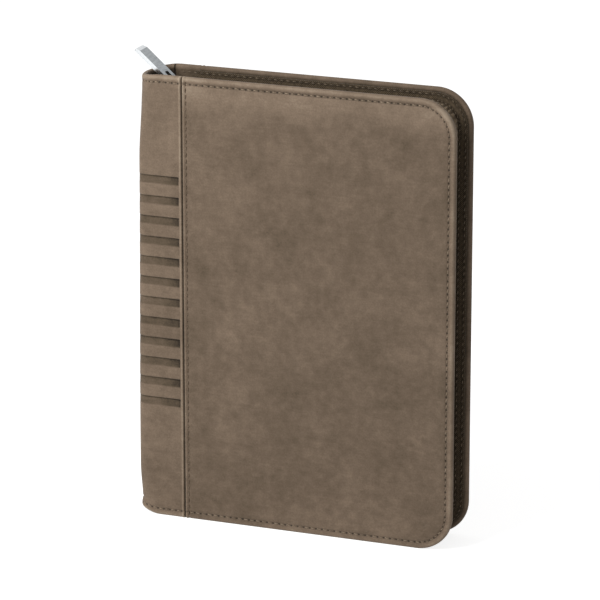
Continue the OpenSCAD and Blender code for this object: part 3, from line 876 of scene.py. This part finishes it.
def tape_stitches(side, q):
    """Line of stitches inside a cover, q from its edge: on the lip first, then on the tape that covers it."""
    path = edge_path(CREASE_X + BEND_REACH)
    s = COVER_T + np.where(path[:, 0] < ROW_END_X, LIP_STITCH_OVER, TAPE_STITCH_OVER)
    points = on_cover(*inside_edge(path, q).T, s, side)
    return stitch_line(run_length(path[:, :2]), points, facing(points, -side), length=TAPE_STITCH_LEN)


def seam_stitches(side):
    """Line of stitches beside the seam, from hem to hem."""
    z = np.linspace(0, CASE_H, 300)
    points = on_cover(PANEL_X + SEAM_STITCH, z, SEAM_STITCH_SINK - rim_height(from_edge(z), True), side)
    return stitch_line(z, points, facing(points, side), SEAM_STITCH_END, CASE_H - SEAM_STITCH_END,
                       SEAM_STITCH_SHADE, SEAM_STITCH_LEN)


def spine_stitches(side, head):
    """Line of stitches along the foot or head of half a spine, following its leather."""
    height = CASE_H - STITCH_IN if head else STITCH_IN
    u, *place = (line[:, 0] for line in spine_surface(side, np.array([height])))
    points = under_spine(place, STITCH_SINK + hem_pinch(height, u), height + spine_drop(u, STITCH_IN, head))
    return stitch_line(u, points, together(place[2], place[3], 0.0), first=1.0)


for cover, side in COVERS.items():
    rows = build(f"{cover}_stitches", [rim_stitches(side), seam_stitches(side)])
    dress(rows, thread, f"{cover}_cover")
    inner = build(f"{cover}_tape_stitches", [tape_stitches(side, q) for q in TAPE_ROWS])
    dress(inner, tape_thread, f"{cover}_cover")
    ends = build(f"{cover}_spine_stitches", [spine_stitches(side, head) for head in (False, True)])
    dress(ends, thread)
    bend_at_crease(ends)

# %% [markdown]
# ## Linings
# Inside, a plain-weave lining covers the boards up to the turned-in leather, and goes on over both creases
# and round the spine. The tapes of the zip are woven in the same way, a little coarser. A weave is a
# product of two sines, one along the cloth and one across it. That costs less than modelled threads, and a
# little fuzz hides how even it is.

# %% Woven cloth
def make_cloth(name, dark, light, pitch):
    """Plain weave: the product of two sines, one along the cloth and one across it, over a little fuzz."""
    cloth = Finish(name, Specular_IOR_Level=0.2, Sheen_Weight=0.15, Sheen_Roughness=0.5)
    along, across, _ = cloth.run_axes()
    turn = 2 * math.pi / pitch
    weave = (along * turn).sine() * (across * turn).sine()
    fuzz = cloth.noise(700, 3.0, 0.6) - 0.5
    value = 0.5 + weave * 0.24 + fuzz * 0.5 + cloth.attribute("tone") * 0.5
    return cloth.shade(Base_Color=cloth.ramp(value, [(0.1, dark), (0.9, light)]),
                       Roughness=0.86 + weave * 0.06,
                       Normal=cloth.bump(weave * 0.5 + fuzz * 0.6, 0.14, 0.6))


lining = make_cloth("woven_lining", tint(48, 41, 35), tint(78, 68, 59), 0.9)
print("cloth nodes:", len(lining.node_tree.nodes))

# %% [markdown]
# Cloth could be simulated, but this lining is glued down, so it is laid out by formula: rings of an outline
# again, with a folded edge.

# %% Linings
LINING_X, LINING_LAP, LINING_T, LINING_WALL, LINING_SINK = -69.0, 0.3, 0.38, 0.2, 0.35
SPINE_LINING_T, GUTTER_S, GUTTER_W = 0.3, 0.88, 3.4
CLOTH_STEP = 2.0
SHEET_STEPS = np.array([0, 0, 0.06, 0.2, 0.45, 0.9, 1.5, 2.0, 2.3, 2.5, 2.7, 3.0, 3.6, 5, 9, 16, 25, 36, 46])
FOLD_RISE = [0, 0.55, 0.8, 0.95]
POCKET_STITCH = 2.5


def cover_outline(x0, inset):
    """Closed outline of a cover, drawn in by inset from its open edge and cut off at x0."""
    open_side = inside_edge(edge_path(x0, PLAIN_END, CLOTH_STEP), inset)
    back = np.linspace(open_side[-1], open_side[0], int((CASE_H - 2 * inset) / CLOTH_STEP))[1:-1]
    return np.concatenate([open_side, back])


def laid_sheet(name, outline, bottom, thickness, side, groove=0.0):
    """Sheet laid on the inside of a cover: from its edge it rises round a fold to its thickness, dips along
    a line of stitches if it has one, and runs flat to a pole in the middle."""
    inset, loop = rings(outline, SHEET_STEPS)
    x, z = np.moveaxis(loop, -1, 0)
    rise = np.concatenate([FOLD_RISE, np.ones(len(inset) - len(FOLD_RISE))])[:, None]
    bead = 0.16 * hump(inset, 1.1, 0.7) - groove * hump(inset, POCKET_STITCH, 0.3)
    wave = 0.5 * (unevenness(x, z) + 0.12) * ease(inset, 5, 20)
    points = on_cover(x, z, bottom + thickness * rise + bead + wave, side)
    # Tone: paler along the folded edge, and darker in the groove of the stitches, painted shade.
    tone = 0.2 * hump(inset, 0.9, 0.6) - 1.2 * groove * hump(inset, POCKET_STITCH, 0.35)
    return build(name, [grid(points, tone, together(x, z, 0.0), wrap=True, flip=side == FRONT)])


def spine_lining(name, side):
    """Half of the lining behind the spine, from the cover over the crease to the middle. No board lies under
    the crease, so there the lining sinks to the leather."""
    z = np.linspace(TURN_IN, CASE_H - TURN_IN, 60)
    u, *place = spine_surface(side, z, start=FLAP_X - LINING_X - 1)
    around = round_share(u)
    deep = COVER_T + (SPINE_T - COVER_T) * around + 0.06 * np.sin(z / 9.0) * around
    deep = deep - (deep - GUTTER_S) * hump(u, FLAP_W, GUTTER_W)
    return build(name, [grid(under_spine(place, deep, z), 0.0, together(u, z, 0.0), flip=side == FRONT)])


for cover, side in COVERS.items():
    cloth = laid_sheet(f"{cover}_lining_cloth", cover_outline(LINING_X, TURN_IN - LINING_LAP),
                       COVER_T - LINING_SINK, LINING_T, side)
    dress(thicken(cloth, LINING_WALL), lining, f"{cover}_cover", [f"{cover}_lining"])
    turn = thicken(spine_lining(f"{cover}_spine_lining", side), SPINE_LINING_T)
    dress(turn, lining, None, ["spine_lining"])
    bend_at_crease(turn)

# %% [markdown]
# ## Pockets
# Pockets of the case leather lie on the linings. They are sheets too, on outlines taken from the CAD boxes:
# straight lines from corner to corner, with a quarter circle where a corner is round. The thread follows
# the same lines a little further in, so both come from the same helpers.

# %% Outlines and sewn lines
def round_corner(x, z, radius, count):
    """Quarter circle about x and z, from its foot to its outer side: columns x and z."""
    angle = np.radians(np.linspace(-90, 0, count))
    return together(x + radius * np.cos(angle), z + radius * np.sin(angle))


def polyline(corners, step=CLOTH_STEP):
    """Points about a step apart on the straight lines from corner to corner and back to the first."""
    corners = np.array(corners, float)
    following = np.roll(corners, -1, axis=0)
    counts = np.maximum(1, np.linalg.norm(following - corners, axis=1) / step).astype(int)
    return np.concatenate([np.linspace(first, second, count, endpoint=False)
                           for first, second, count in zip(corners, following, counts)])


def sewn_row(corners, deep):
    """Stitches inside the front cover on straight lines from corner to corner, deep under its outer face."""
    corners = np.array(corners, float)
    points = on_cover(corners[:, 0], corners[:, 1], deep, FRONT)
    return stitch_line(run_length(corners), points, facing(points, -FRONT))


def closed_sides(outline, mouth_x, mouth_z):
    """Line POCKET_STITCH inside an outline, from one end of the mouth round to the other."""
    line = rings(outline, np.array([POCKET_STITCH]))[1][0]
    sewn = line[:, 1] < np.interp(line[:, 0], mouth_x, mouth_z) - 1.5 * POCKET_STITCH
    return np.roll(line, -np.flatnonzero(~sewn)[-1] - 1, axis=0)[:sewn.sum()]


print(f"thread {POCKET_STITCH} mm inside the edges of the pockets")

# %% [markdown]
# At the front there are a document pocket with a slanting mouth, sewn along its other sides, and three card
# slots, sewn along their upright sides. At the back a sleeve takes the diary's cover, and only has a line
# pressed along its edge.

# %% Document pocket, card slots and sleeve
POCKET_T, POCKET_GROOVE, POCKET_THREAD = 0.6, 0.22, 0.7
SLOT_T, SLOT_GROOVE, SLOT_THREAD = 0.5, 0.15, 0.75
SLEEVE_T, SLEEVE_GROOVE, SLEEVE_WALL, SLEEVE_SINK = 0.6, 0.2, 0.4, 0.7
POUCH_WALL = 0.3
MOUTH_FALL = 19.5  # from the pocket's inner side to the fore-edge of the case

low, high = node_box("document_pocket")
ground = HALF_D + low[1]
fall = MOUTH_FALL * (high[0] - low[0]) / (FORE_X - low[0])
pocket_corner = round_corner(CORNER_X, CORNER_R, high[0] - CORNER_X, 12)
outline = polyline([(low[0], low[2]), *pocket_corner, (high[0], high[2] - fall), (low[0], high[2])])
pocket = laid_sheet("document_pocket_leather", outline, ground, POCKET_T, FRONT, POCKET_GROOVE)
dress(thicken(pocket, POUCH_WALL), leather, "front_cover", ["document_pocket"])
sides = closed_sides(outline, [low[0], high[0]], [high[2], high[2] - fall])
inner_rows = [sewn_row(sides, ground + POCKET_THREAD)]

for slot_name in ("rear", "middle", "near"):
    low, high = node_box(f"card_slot_{slot_name}")
    ground = HALF_D + low[1]
    outline = polyline([(low[0], low[2]), (high[0], low[2]), (high[0], high[2]), (low[0], high[2])])
    pouch = laid_sheet(f"card_slot_{slot_name}_leather", outline, ground, SLOT_T, FRONT, SLOT_GROOVE)
    dress(thicken(pouch, POUCH_WALL), leather, "front_cover", [f"card_slot_{slot_name}"])
    left, right = low[0] + POCKET_STITCH, high[0] - POCKET_STITCH
    inner_rows.append(sewn_row([(left, high[2]), (left, low[2])], ground + SLOT_THREAD))
    inner_rows.append(sewn_row([(right, low[2]), (right, high[2])], ground + SLOT_THREAD))

dress(build("pocket_stitches", inner_rows), thread, "front_cover")

low, high = node_box("back_sleeve")
sleeve = laid_sheet("back_sleeve_leather", cover_outline(low[0], FORE_X - high[0]),
                    HALF_D - low[1] - SLEEVE_SINK, SLEEVE_T, BACK, SLEEVE_GROOVE)
dress(thicken(sleeve, SLEEVE_WALL), leather, "back_cover", ["back_sleeve"])

# %% [markdown]
# ## Zip
# Each cover carries one woven tape: a flat edge sewn to the lip, a bend, and an upright part that ends in
# the row of teeth. Its section is drawn once, as on the covers. A Solidify modifier could thicken it, but
# the tape bends so tightly that both of its sides are placed directly, and closed at the ends.

# %% Section of the tape
TAPE_T, TAPE_R = 0.6, 1.8
TAPE_Q, TAPE_BEND_Q, TAPE_S, TAPE_END_S = 2.55, 8.2, 3.5, 12.0


def tape_section():
    """Line across the tape: flat on the lip, a quarter circle, then straight up to the teeth.
    Columns q, s, the normal of the outer side in q and s, and the distance across."""
    angle = np.radians(np.linspace(-90, 0, 7))[1:]
    flat = together(np.linspace(TAPE_Q, TAPE_BEND_Q, 8), TAPE_S, 0, 1)
    bend = together(TAPE_BEND_Q + TAPE_R * np.cos(angle), TAPE_S + TAPE_R * (1 + np.sin(angle)),
                    -np.cos(angle), -np.sin(angle))
    rise = together(TAPE_BEND_Q + TAPE_R, np.linspace(TAPE_S + TAPE_R, TAPE_END_S, 14)[1:], -1, 0)
    section = np.concatenate([flat, bend, rise])
    return np.column_stack([section, run_length(section[:, :2])])


def doubled_ends(line):
    """A line with its first and last point twice, so that a strip along it can be closed at its ends."""
    return np.concatenate([line[:1], line, line[-1:]])


def half_thickness(count):
    """Half the thickness of the tape at each point of such a line: nothing at its two ends."""
    half = np.full((count, 1), TAPE_T / 2)
    half[[0, -1]] = 0
    return half


print(f"tape {tape_section()[-1, -1]:.1f} mm across")

# %% [markdown]
# A straight tape can't go round a corner without gathering, so there it puckers and bulges outwards between
# the rims. A cloth simulation would take long to settle into that, and a bell times a sine gives the same
# form at once.

# %% Zip tapes
TAPE_STEP = 0.8
GATHER, GATHER_REACH = {FRONT: 8.3, BACK: 2.0}, 45.0
PUCKER, PUCKER_PITCH = 0.45, 4.6
TAIL_X, TAIL_S = node_box("back_zip_tape")[0][0], 8.0
TAIL_Z = CASE_H - TAPE_BEND_Q - TAPE_R


def zip_tape(side):
    """Tape along the open edge, as a thin closed section. Round the corners it is pushed outwards by a bell
    across the tape times a share that fades along the straight edges, with a wave for the puckers."""
    path, section = doubled_ends(edge_path(ROW_END_X, PLAIN_END, TAPE_STEP)), tape_section()
    x, z, into_x, into_z = path.T[:, :, None]
    q, s, out_q, out_s, across = np.concatenate([section, section[::-1]]).T[:, None]
    thick = half_thickness(len(path)) * np.repeat([1, -1], len(section))
    along = run_length(path[:, :2])[:, None]
    half_turn = CORNER_R * math.pi / 4
    first_corner = CORNER_X - ROW_END_X + half_turn
    to_corner = np.minimum(np.abs(along - first_corner), np.abs(along[-1] - first_corner - along))
    corner = 1 - ease(to_corner, half_turn - 6, half_turn + GATHER_REACH)
    bell = corner * np.sin(np.pi * np.clip((across - 5.0) / (across.max() - 7.0), 0, 1)) ** 1.2
    turn = 2 * math.pi * along / PUCKER_PITCH
    wave = np.sin(turn + 0.9 * np.sin(along / 3.1) + side)
    deep_q = q + out_q * thick - bell * (GATHER[side] + PUCKER * wave)
    deep_s = s + out_s * thick + bell * 0.3 * np.sin(turn + 1.2)
    points = on_cover(x + deep_q * into_x, z + deep_q * into_z, deep_s, side)
    sewn = sum(hump(across, row - TAPE_Q, 0.55) for row in TAPE_ROWS)
    # Tone: the bulge and its puckers are paler, painted highlight where they catch the light; the tape is
    # darker along its rows of stitches and by a constant all over.
    tone = 0.7 * bell * (1 + 0.3 * wave) - 0.4 - 0.4 * sewn
    return grid(points, tone, together(along, across, 0.0), wrap=True, flip=side == BACK)


def tape_tail():
    """Straight end of the back tape beside the parked slider: a thin closed strip before its row begins."""
    x = doubled_ends(np.linspace(TAIL_X, ROW_END_X + 1, 20))[:, None]
    s = np.array([TAIL_S, TAPE_END_S, TAPE_END_S, TAIL_S])
    z = TAIL_Z + half_thickness(len(x)) * np.array([1, 1, -1, -1])
    return grid(on_cover(x, z, s, BACK), -0.45, together(x, s, 0.0), wrap=True)


tape = make_cloth("zip_tape_weave", tint(44, 35, 23), tint(150, 130, 104), 1.1)
for cover, side in COVERS.items():
    tail = [tape_tail()] if side == BACK else []
    band = build(f"{cover}_tape", [zip_tape(side), *tail])
    dress(band, tape, f"{cover}_cover", [f"{cover}_zip_tape"])

# %% [markdown]
# The teeth are the CAD solids, because they already have their real shape, and only need a finish of dark
# moulded plastic. The slider, the pull and the stops are metal, brushed in one direction: noise drawn out
# along the brushing gives fine lines in the colour, the gloss and the surface.

# %% Teeth, and the finish of the metal
def make_plastic(name, dark, light):
    """Dark moulded plastic: one noise gives it a slight cloud and a scuffed gloss."""
    plastic = Finish(name, Specular_IOR_Level=0.5)
    cloud = plastic.noise(900, 2.0)
    colour = plastic.ramp(cloud, [(0.3, dark), (0.7, light)])
    return plastic.shade(Base_Color=colour, Roughness=0.3 + cloud * 0.2)


def make_metal(name, dark, light, stretch, rough):
    """Brushed metal: noise drawn out along the brushing changes the colour, the gloss and the surface, and
    the tone attribute darkens the faces that are left matt."""
    metal = Finish(name, Metallic=1.0)
    brush = metal.noise(2600, 2.0, 0.5, stretch=stretch)
    matt = metal.attribute("tone")
    value = 0.6 + (brush - 0.5) * 0.5 - matt * 0.45
    return metal.shade(Base_Color=metal.ramp(value, [(0.0, dark), (0.8, light)]),
                       Roughness=rough + brush * 0.1 + matt * 0.12, Normal=metal.bump(brush, 0.02, 0.3))


teeth = make_plastic("tooth_plastic", tint(26, 20, 15), tint(52, 42, 33))
nickel = make_metal("slider_nickel", tint(120, 118, 114), tint(196, 194, 190), (0.08, 1.0, 1.0), 0.24)
pull_metal = make_metal("pull_steel", tint(120, 125, 128), tint(232, 235, 237), (1.0, 0.05, 1.0), 0.16)
for cover in COVERS:
    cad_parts[f"{cover}_zip_teeth"].material_slots[0].material = teeth
print("metal nodes:", len(nickel.node_tree.nodes))

# %% [markdown]
# Metal shows its edges by the light they catch, so each piece is a copy of its solid with a small bevel. A
# bevel needs whole faces, and the loose triangles are merged first. The broad face of the pull is left
# matt, and the rest is polished.

# %% Slider, pull and stops
MERGE_REACH, FLAT_ANGLE, EDGE_ANGLE = 0.001, math.radians(0.5), math.radians(40)
PULL_LEAN = math.radians(41)
MATT_FACES = {"pull_tab": (math.sin(PULL_LEAN), 0.0, math.cos(PULL_LEAN))}


def softened(node, width):
    """Copy of a CAD node with its points merged, its flat faces made whole and its edges rounded by a bevel.
    A face that looks in the node's matt direction, if it has one, is marked in the tone attribute."""
    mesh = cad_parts[node].data.copy()
    weld(mesh, MERGE_REACH, FLAT_ANGLE)
    if "custom_normal" in mesh.attributes:
        mesh.attributes.remove(mesh.attributes["custom_normal"])
    mesh.set_sharp_from_angle(angle=EDGE_ANGLE)
    if node in MATT_FACES:
        normals = np.zeros(3 * len(mesh.polygons), np.float32)
        mesh.polygons.foreach_get("normal", normals)
        looks = (normals.reshape(-1, 3) @ np.array(MATT_FACES[node]) > 0.97).astype(np.float32)
        mesh.attributes.new("tone", "FLOAT", "FACE").data.foreach_set("value", looks)
    piece = new_object(f"{node}_finish", mesh)
    bevel = piece.modifiers.new("edges", "BEVEL")
    bevel.width = width * MM
    bevel.segments = 3
    bevel.limit_method = "ANGLE"
    bevel.angle_limit = EDGE_ANGLE
    bevel.use_clamp_overlap = True
    bevel.harden_normals = True
    return piece


METAL_PIECES = {
    "slider_body": ("slider", 0.35, "zip_metal", nickel),
    "slider_bail": ("slider", 0.25, "zip_metal", nickel),
    "pull_tab": ("pull", 0.4, "pull_metal", pull_metal),
    "zip_bottom_stop": ("back_cover", 0.2, "zip_metal", nickel),
    "back_top_stop": ("back_cover", 0.2, "zip_metal", nickel),
    "front_top_stop": ("front_cover", 0.2, "zip_metal", nickel),
}
for node, (body, width, slot, finish) in METAL_PIECES.items():
    dress(softened(node, width), finish, body, [node])

# %% [markdown]
# ## Diary
# The bound diary hangs by its back card in the sleeve. Its paper is cream with a fine fibre, and seen from
# the edge its leaves make thin lines. Faint rules on the pages come from the run attribute, which holds the
# place on the page, so that they end at a margin on both sides.

# %% Paper
RULE_PITCH, RULE_HALF, RULE_FROM, RULE_TO = 7.0, 0.12, -54.0, 58.0


def make_paper(name, pale, shade, rule):
    """Cream paper: fine fibre, thin layer lines seen from the edge, and ruled lines where the run says so."""
    paper = Finish(name, Specular_IOR_Level=0.2)
    fibre = paper.noise(1200, 3.0, 0.6)
    layer = paper.noise(900, 2.0, 0.5, stretch=(0.02, 5.0, 0.02))
    along, across, ruled = paper.run_axes()
    colour = paper.ramp(fibre * 0.5 + layer * 0.5, [(0.25, shade), (0.75, pale)])
    line = (((across / RULE_PITCH).fraction() - 0.5) * RULE_PITCH).size().below(RULE_HALF, 0.06)
    line = line * along.below(RULE_TO, 0.2) * (-1.0 * along).below(-RULE_FROM, 0.2) * ruled
    return paper.shade(Base_Color=paper.mix(line * 0.5, colour, opaque(rule)), Roughness=0.85 + fibre * 0.08,
                       Normal=paper.bump(fibre * 0.4 + layer * 0.6, 0.05, 0.4))


paper = make_paper("cream_paper", tint(236, 229, 212), tint(210, 200, 180), tint(150, 148, 144))
print("paper nodes:", len(paper.node_tree.nodes))

# %% [markdown]
# Leaves never line up quite exactly. Single sheets would be far too many faces, so the block is a stack of
# layers, each drawn in by a slightly different amount, and the leaves behind the front card are made the
# same way.

# %% Leaves
LEAF_STEPS = np.array([0, 2, 6, 14, 28, 48, 66])
LEAF_STEP, LEAF_SLACK, LEAF_ROUND = 4.0, 0.3, 0.05


def leaf_outline(low, high, radius):
    """Outline of a leaf: square at the spine, round at the two outer corners."""
    foot = round_corner(high[0] - radius, low[2] + radius, radius, 10)
    head = foot[::-1] * [1, -1] + [0, low[2] + high[2]]
    return polyline([(low[0], low[2]), *foot, *head, (low[0], high[2])], LEAF_STEP)


def leaf_stack(name, node, layers):
    """Stack of leaves in a CAD node's box: away from the spine, layer k is drawn in by LEAF_SLACK times a
    fixed uneven number, and both faces are closed by rings."""
    low, high = node_box(node)
    outline = leaf_outline(low, high, CORNER_R - FORE_X + high[0])
    number = np.arange(layers)
    drawn = LEAF_SLACK * np.abs(np.sin(number * 2.17) + np.sin(number * 5.31)) / 2
    inset = (drawn[:, None] + LEAF_ROUND * np.array([0, 1, 1, 0])).ravel()
    y = low[1] + (number[:, None] + np.array([0.0, 0.15, 0.85, 1.0])).ravel() * (high[1] - low[1]) / layers
    loose = (outline[:, 0] > low[0] + 1.0)[None, :, None]
    edge = np.where(loose, rings(outline, inset)[1][:-1], outline[None])
    parts = [grid(together(edge[..., 0], y[:, None], edge[..., 1]), wrap=True, flip=True)]
    for loop, level, flip in ((edge[0], y[0], False), (edge[-1], y[-1], True)):
        x, z = np.moveaxis(rings(loop, LEAF_STEPS)[1], -1, 0)
        parts.append(grid(together(x, level, z), 0.0, together(x, z, 1.0), wrap=True, flip=flip))
    return build(name, parts)


block = leaf_stack("page_block_leaves", "page_block", 48)
dress(block, paper, "back_cover", ["page_block"])
leaves = leaf_stack("front_leaves", "planner_leaves", 4)
dress(leaves, paper, "planner_front", ["planner_leaves"])

# %% [markdown]
# The diary's stiff cards are the CAD solids with rounded edges, and so are the grey boards inside the
# covers. The boards stop short of the creases, where only leather and lining may bend, and the stiffener
# behind the spine follows its leather, because the spine is not quite the half round of the solid.

# %% Cards and boards
BOARD_BACK, BOARD_EDGE = 4.0, 0.2
STIFF_DEEP, STIFF_T = 1.15, 0.9
CARDS = {"planner_front_cover": "planner_front", "planner_back_cover": "back_cover",
         "planner_spine": "back_cover"}


def make_board(name, dark, light, scale):
    """Pressed card: a fine and a coarse noise, added up, speckle it between two colours."""
    board = Finish(name, Specular_IOR_Level=0.3)
    fibre = board.noise(scale, 4.0, 0.65)
    fleck = board.noise(scale * 0.3, 2.0, 0.5)
    return board.shade(Base_Color=board.ramp(fibre * 0.6 + fleck * 0.4, [(0.3, dark), (0.7, light)]),
                       Roughness=0.7 + fibre * 0.15, Normal=board.bump(fibre, 0.05, 0.35))


def ended_at(piece, x):
    """The piece drawn back to x: points nearer to the spine are moved onto it."""
    places = np.zeros(3 * len(piece.data.vertices), np.float32)
    piece.data.vertices.foreach_get("co", places)
    places[0::3] = np.maximum(places[0::3], x * MM)
    piece.data.vertices.foreach_set("co", places)
    piece.data.update()
    return piece


def curved_board(side):
    """Half of the stiffener, which follows the spine's leather, STIFF_DEEP under it, up to the middle."""
    z = np.linspace(SPINE_DROP + 4, CASE_H - SPINE_DROP - 4, 50)
    _, *place = spine_surface(side, z, start=FLAP_W + BOARD_BACK)
    return grid(under_spine(place, STIFF_DEEP, z), flip=side == BACK)


card = make_board("brown_card", tint(72, 60, 49), tint(98, 84, 70), 900)
for node, body in CARDS.items():
    dress(softened(node, BOARD_EDGE), card, body, [node])
board = make_board("grey_board", tint(112, 106, 97), tint(150, 143, 132), 500)
for cover in COVERS:
    stiff = ended_at(softened(f"{cover}_board", BOARD_EDGE), CREASE_X + BOARD_BACK)
    dress(stiff, board, f"{cover}_cover", [f"{cover}_board"])
stiffener = build("spine_stiffener_board", [curved_board(side) for side in (FRONT, BACK)])
dress(thicken(stiffener, STIFF_T), board, "spine", ["spine_stiffener"])

# %% [markdown]
# Two striped headbands close the ends of the block at its back. Each is a roll wrapped in silk of two
# colours, so its radius and its tone change together along the roll.

# %% Headbands
WRAP_PITCH, WRAP_RISE = 1.2, 0.06


def headband(low, high, z):
    """Roll of silk across the back of the block, its radius waved by the wrapping thread: a sine of y."""
    y = np.linspace(low[1], high[1], 120)[:, None]
    angle = np.radians(np.linspace(0, 360, 16, endpoint=False))
    wrap = WRAP_RISE * np.sin(2 * math.pi * y / WRAP_PITCH)
    roll = (high[0] - low[0]) / 2 - WRAP_RISE + wrap
    radius = np.where((y > low[1] + 0.05) & (y < high[1] - 0.05), roll, 0.0)
    points = together((low[0] + high[0]) / 2 + radius * np.cos(angle), y, z + radius * np.sin(angle))
    return grid(points, 0.6 * np.sign(wrap), together(y, angle, 0.0), wrap=True, flip=True)


low, high = node_box("headbands")
band_r = (high[0] - low[0]) / 2
silk = make_thread("headband_silk", tint(96, 78, 60), tint(224, 212, 190))
bands = build("headband_rolls", [headband(low, high, z) for z in (low[2] + band_r, high[2] - band_r)])
dress(bands, silk, "back_cover", ["headbands"])

# %% [markdown]
# ## Stage
# The planner stands on a plain white floor. Floor and background are white to the camera and to the metal,
# while the light they give is weaker, so that the folds keep some shade. More light on everything would
# also make the background white, but it would bleach the leather.

# %% Floor and background
WHITE = (1, 1, 1, 1)
WORLD_LIGHT, FLOOR_GLOW, FLOOR_REACH = 0.26, 0.8, 4


def white_to_the_camera(tree, seen, light):
    """Mixes a shader seen directly, in gloss or through glass with the one that all other rays get: the
    largest of the three ray flags is the share."""
    ray = tree.add("ShaderNodeLightPath", output="Is Camera Ray")
    direct = ray.most(ray.other("Is Glossy Ray")).most(ray.other("Is Transmission Ray"))
    return tree.add("ShaderNodeMixShader", {}, {0: direct, 1: light, 2: seen})


world = bpy.data.worlds.new("white_studio")
bpy.context.scene.world = world
studio = Tree(world)
studio.plug(studio.nodes["Background"], {"Color": WHITE, "Strength": WORLD_LIGHT})
weak = Wire(studio, studio.nodes["Background"].outputs[0])
bright = studio.add("ShaderNodeBackground", {}, {"Color": WHITE})
studio.plug(studio.nodes["World Output"], {"Surface": white_to_the_camera(studio, bright, weak)})

floor_mesh = bpy.data.meshes.new("floor")
floor_corners = [(x * FLOOR_REACH, y * FLOOR_REACH, 0) for x, y in ((-1, -1), (1, -1), (1, 1), (-1, 1))]
floor_mesh.from_pydata(floor_corners, [], [(0, 1, 2, 3)])
floor = new_object("floor", floor_mesh)
pale_floor = Finish("pale_floor", Roughness=0.9, Specular_IOR_Level=0.0, Base_Color=(0.86, 0.86, 0.86, 1.0))
plain = Wire(pale_floor, pale_floor.shader.outputs[0])
glow = pale_floor.add("ShaderNodeEmission", {}, {"Strength": FLOOR_GLOW})
glowing = pale_floor.add("ShaderNodeAddShader", {}, {0: plain, 1: glow})
pale_floor.plug(pale_floor.nodes["Material Output"],
                {"Surface": white_to_the_camera(pale_floor, glowing, plain)})
floor.data.materials.append(pale_floor.material)
print(f"floor {2 * FLOOR_REACH} m wide, background light {WORLD_LIGHT}")

# %% [markdown]
# One large, soft lamp stands above the planner and to the left of the camera, so ridges and pressed bars
# are lit from one side and keep a shade on the other. The camera looks from the front right and a little
# above, through a long lens, so that the edges converge only slightly.

# %% Light and camera
CAMERA_TARGET = Vector((-0.00024, 0.0, 0.1256))
CAMERA_TURN, CAMERA_RISE, CAMERA_FAR = math.radians(20.98), math.radians(16.74), 2.047
KEY_PLACE, KEY_SIZE, KEY_POWER = Vector((-0.52, -0.75, 0.88)), 0.6, 10

lamp = bpy.data.lights.new("key", "AREA")
lamp.size = KEY_SIZE
lamp.energy = KEY_POWER
key = new_object("key", lamp)
key.location = KEY_PLACE
key.rotation_euler = (CAMERA_TARGET - KEY_PLACE).to_track_quat("-Z", "Y").to_euler()

lens = bpy.data.cameras.new("camera")
lens.lens = 231.8
lens.sensor_width = 36
lens.clip_end = 20
camera = new_object("camera", lens)
view = Vector((math.sin(CAMERA_TURN) * math.cos(CAMERA_RISE), -math.cos(CAMERA_TURN) * math.cos(CAMERA_RISE),
               math.sin(CAMERA_RISE)))
camera.location = CAMERA_TARGET + view * CAMERA_FAR
camera.rotation_euler = view.to_track_quat("Z", "Y").to_euler()
bpy.context.scene.camera = camera
bpy.context.scene.view_settings.view_transform = "Standard"
print(f"camera {CAMERA_FAR:.2f} m away with a {lens.lens:.0f} mm lens")
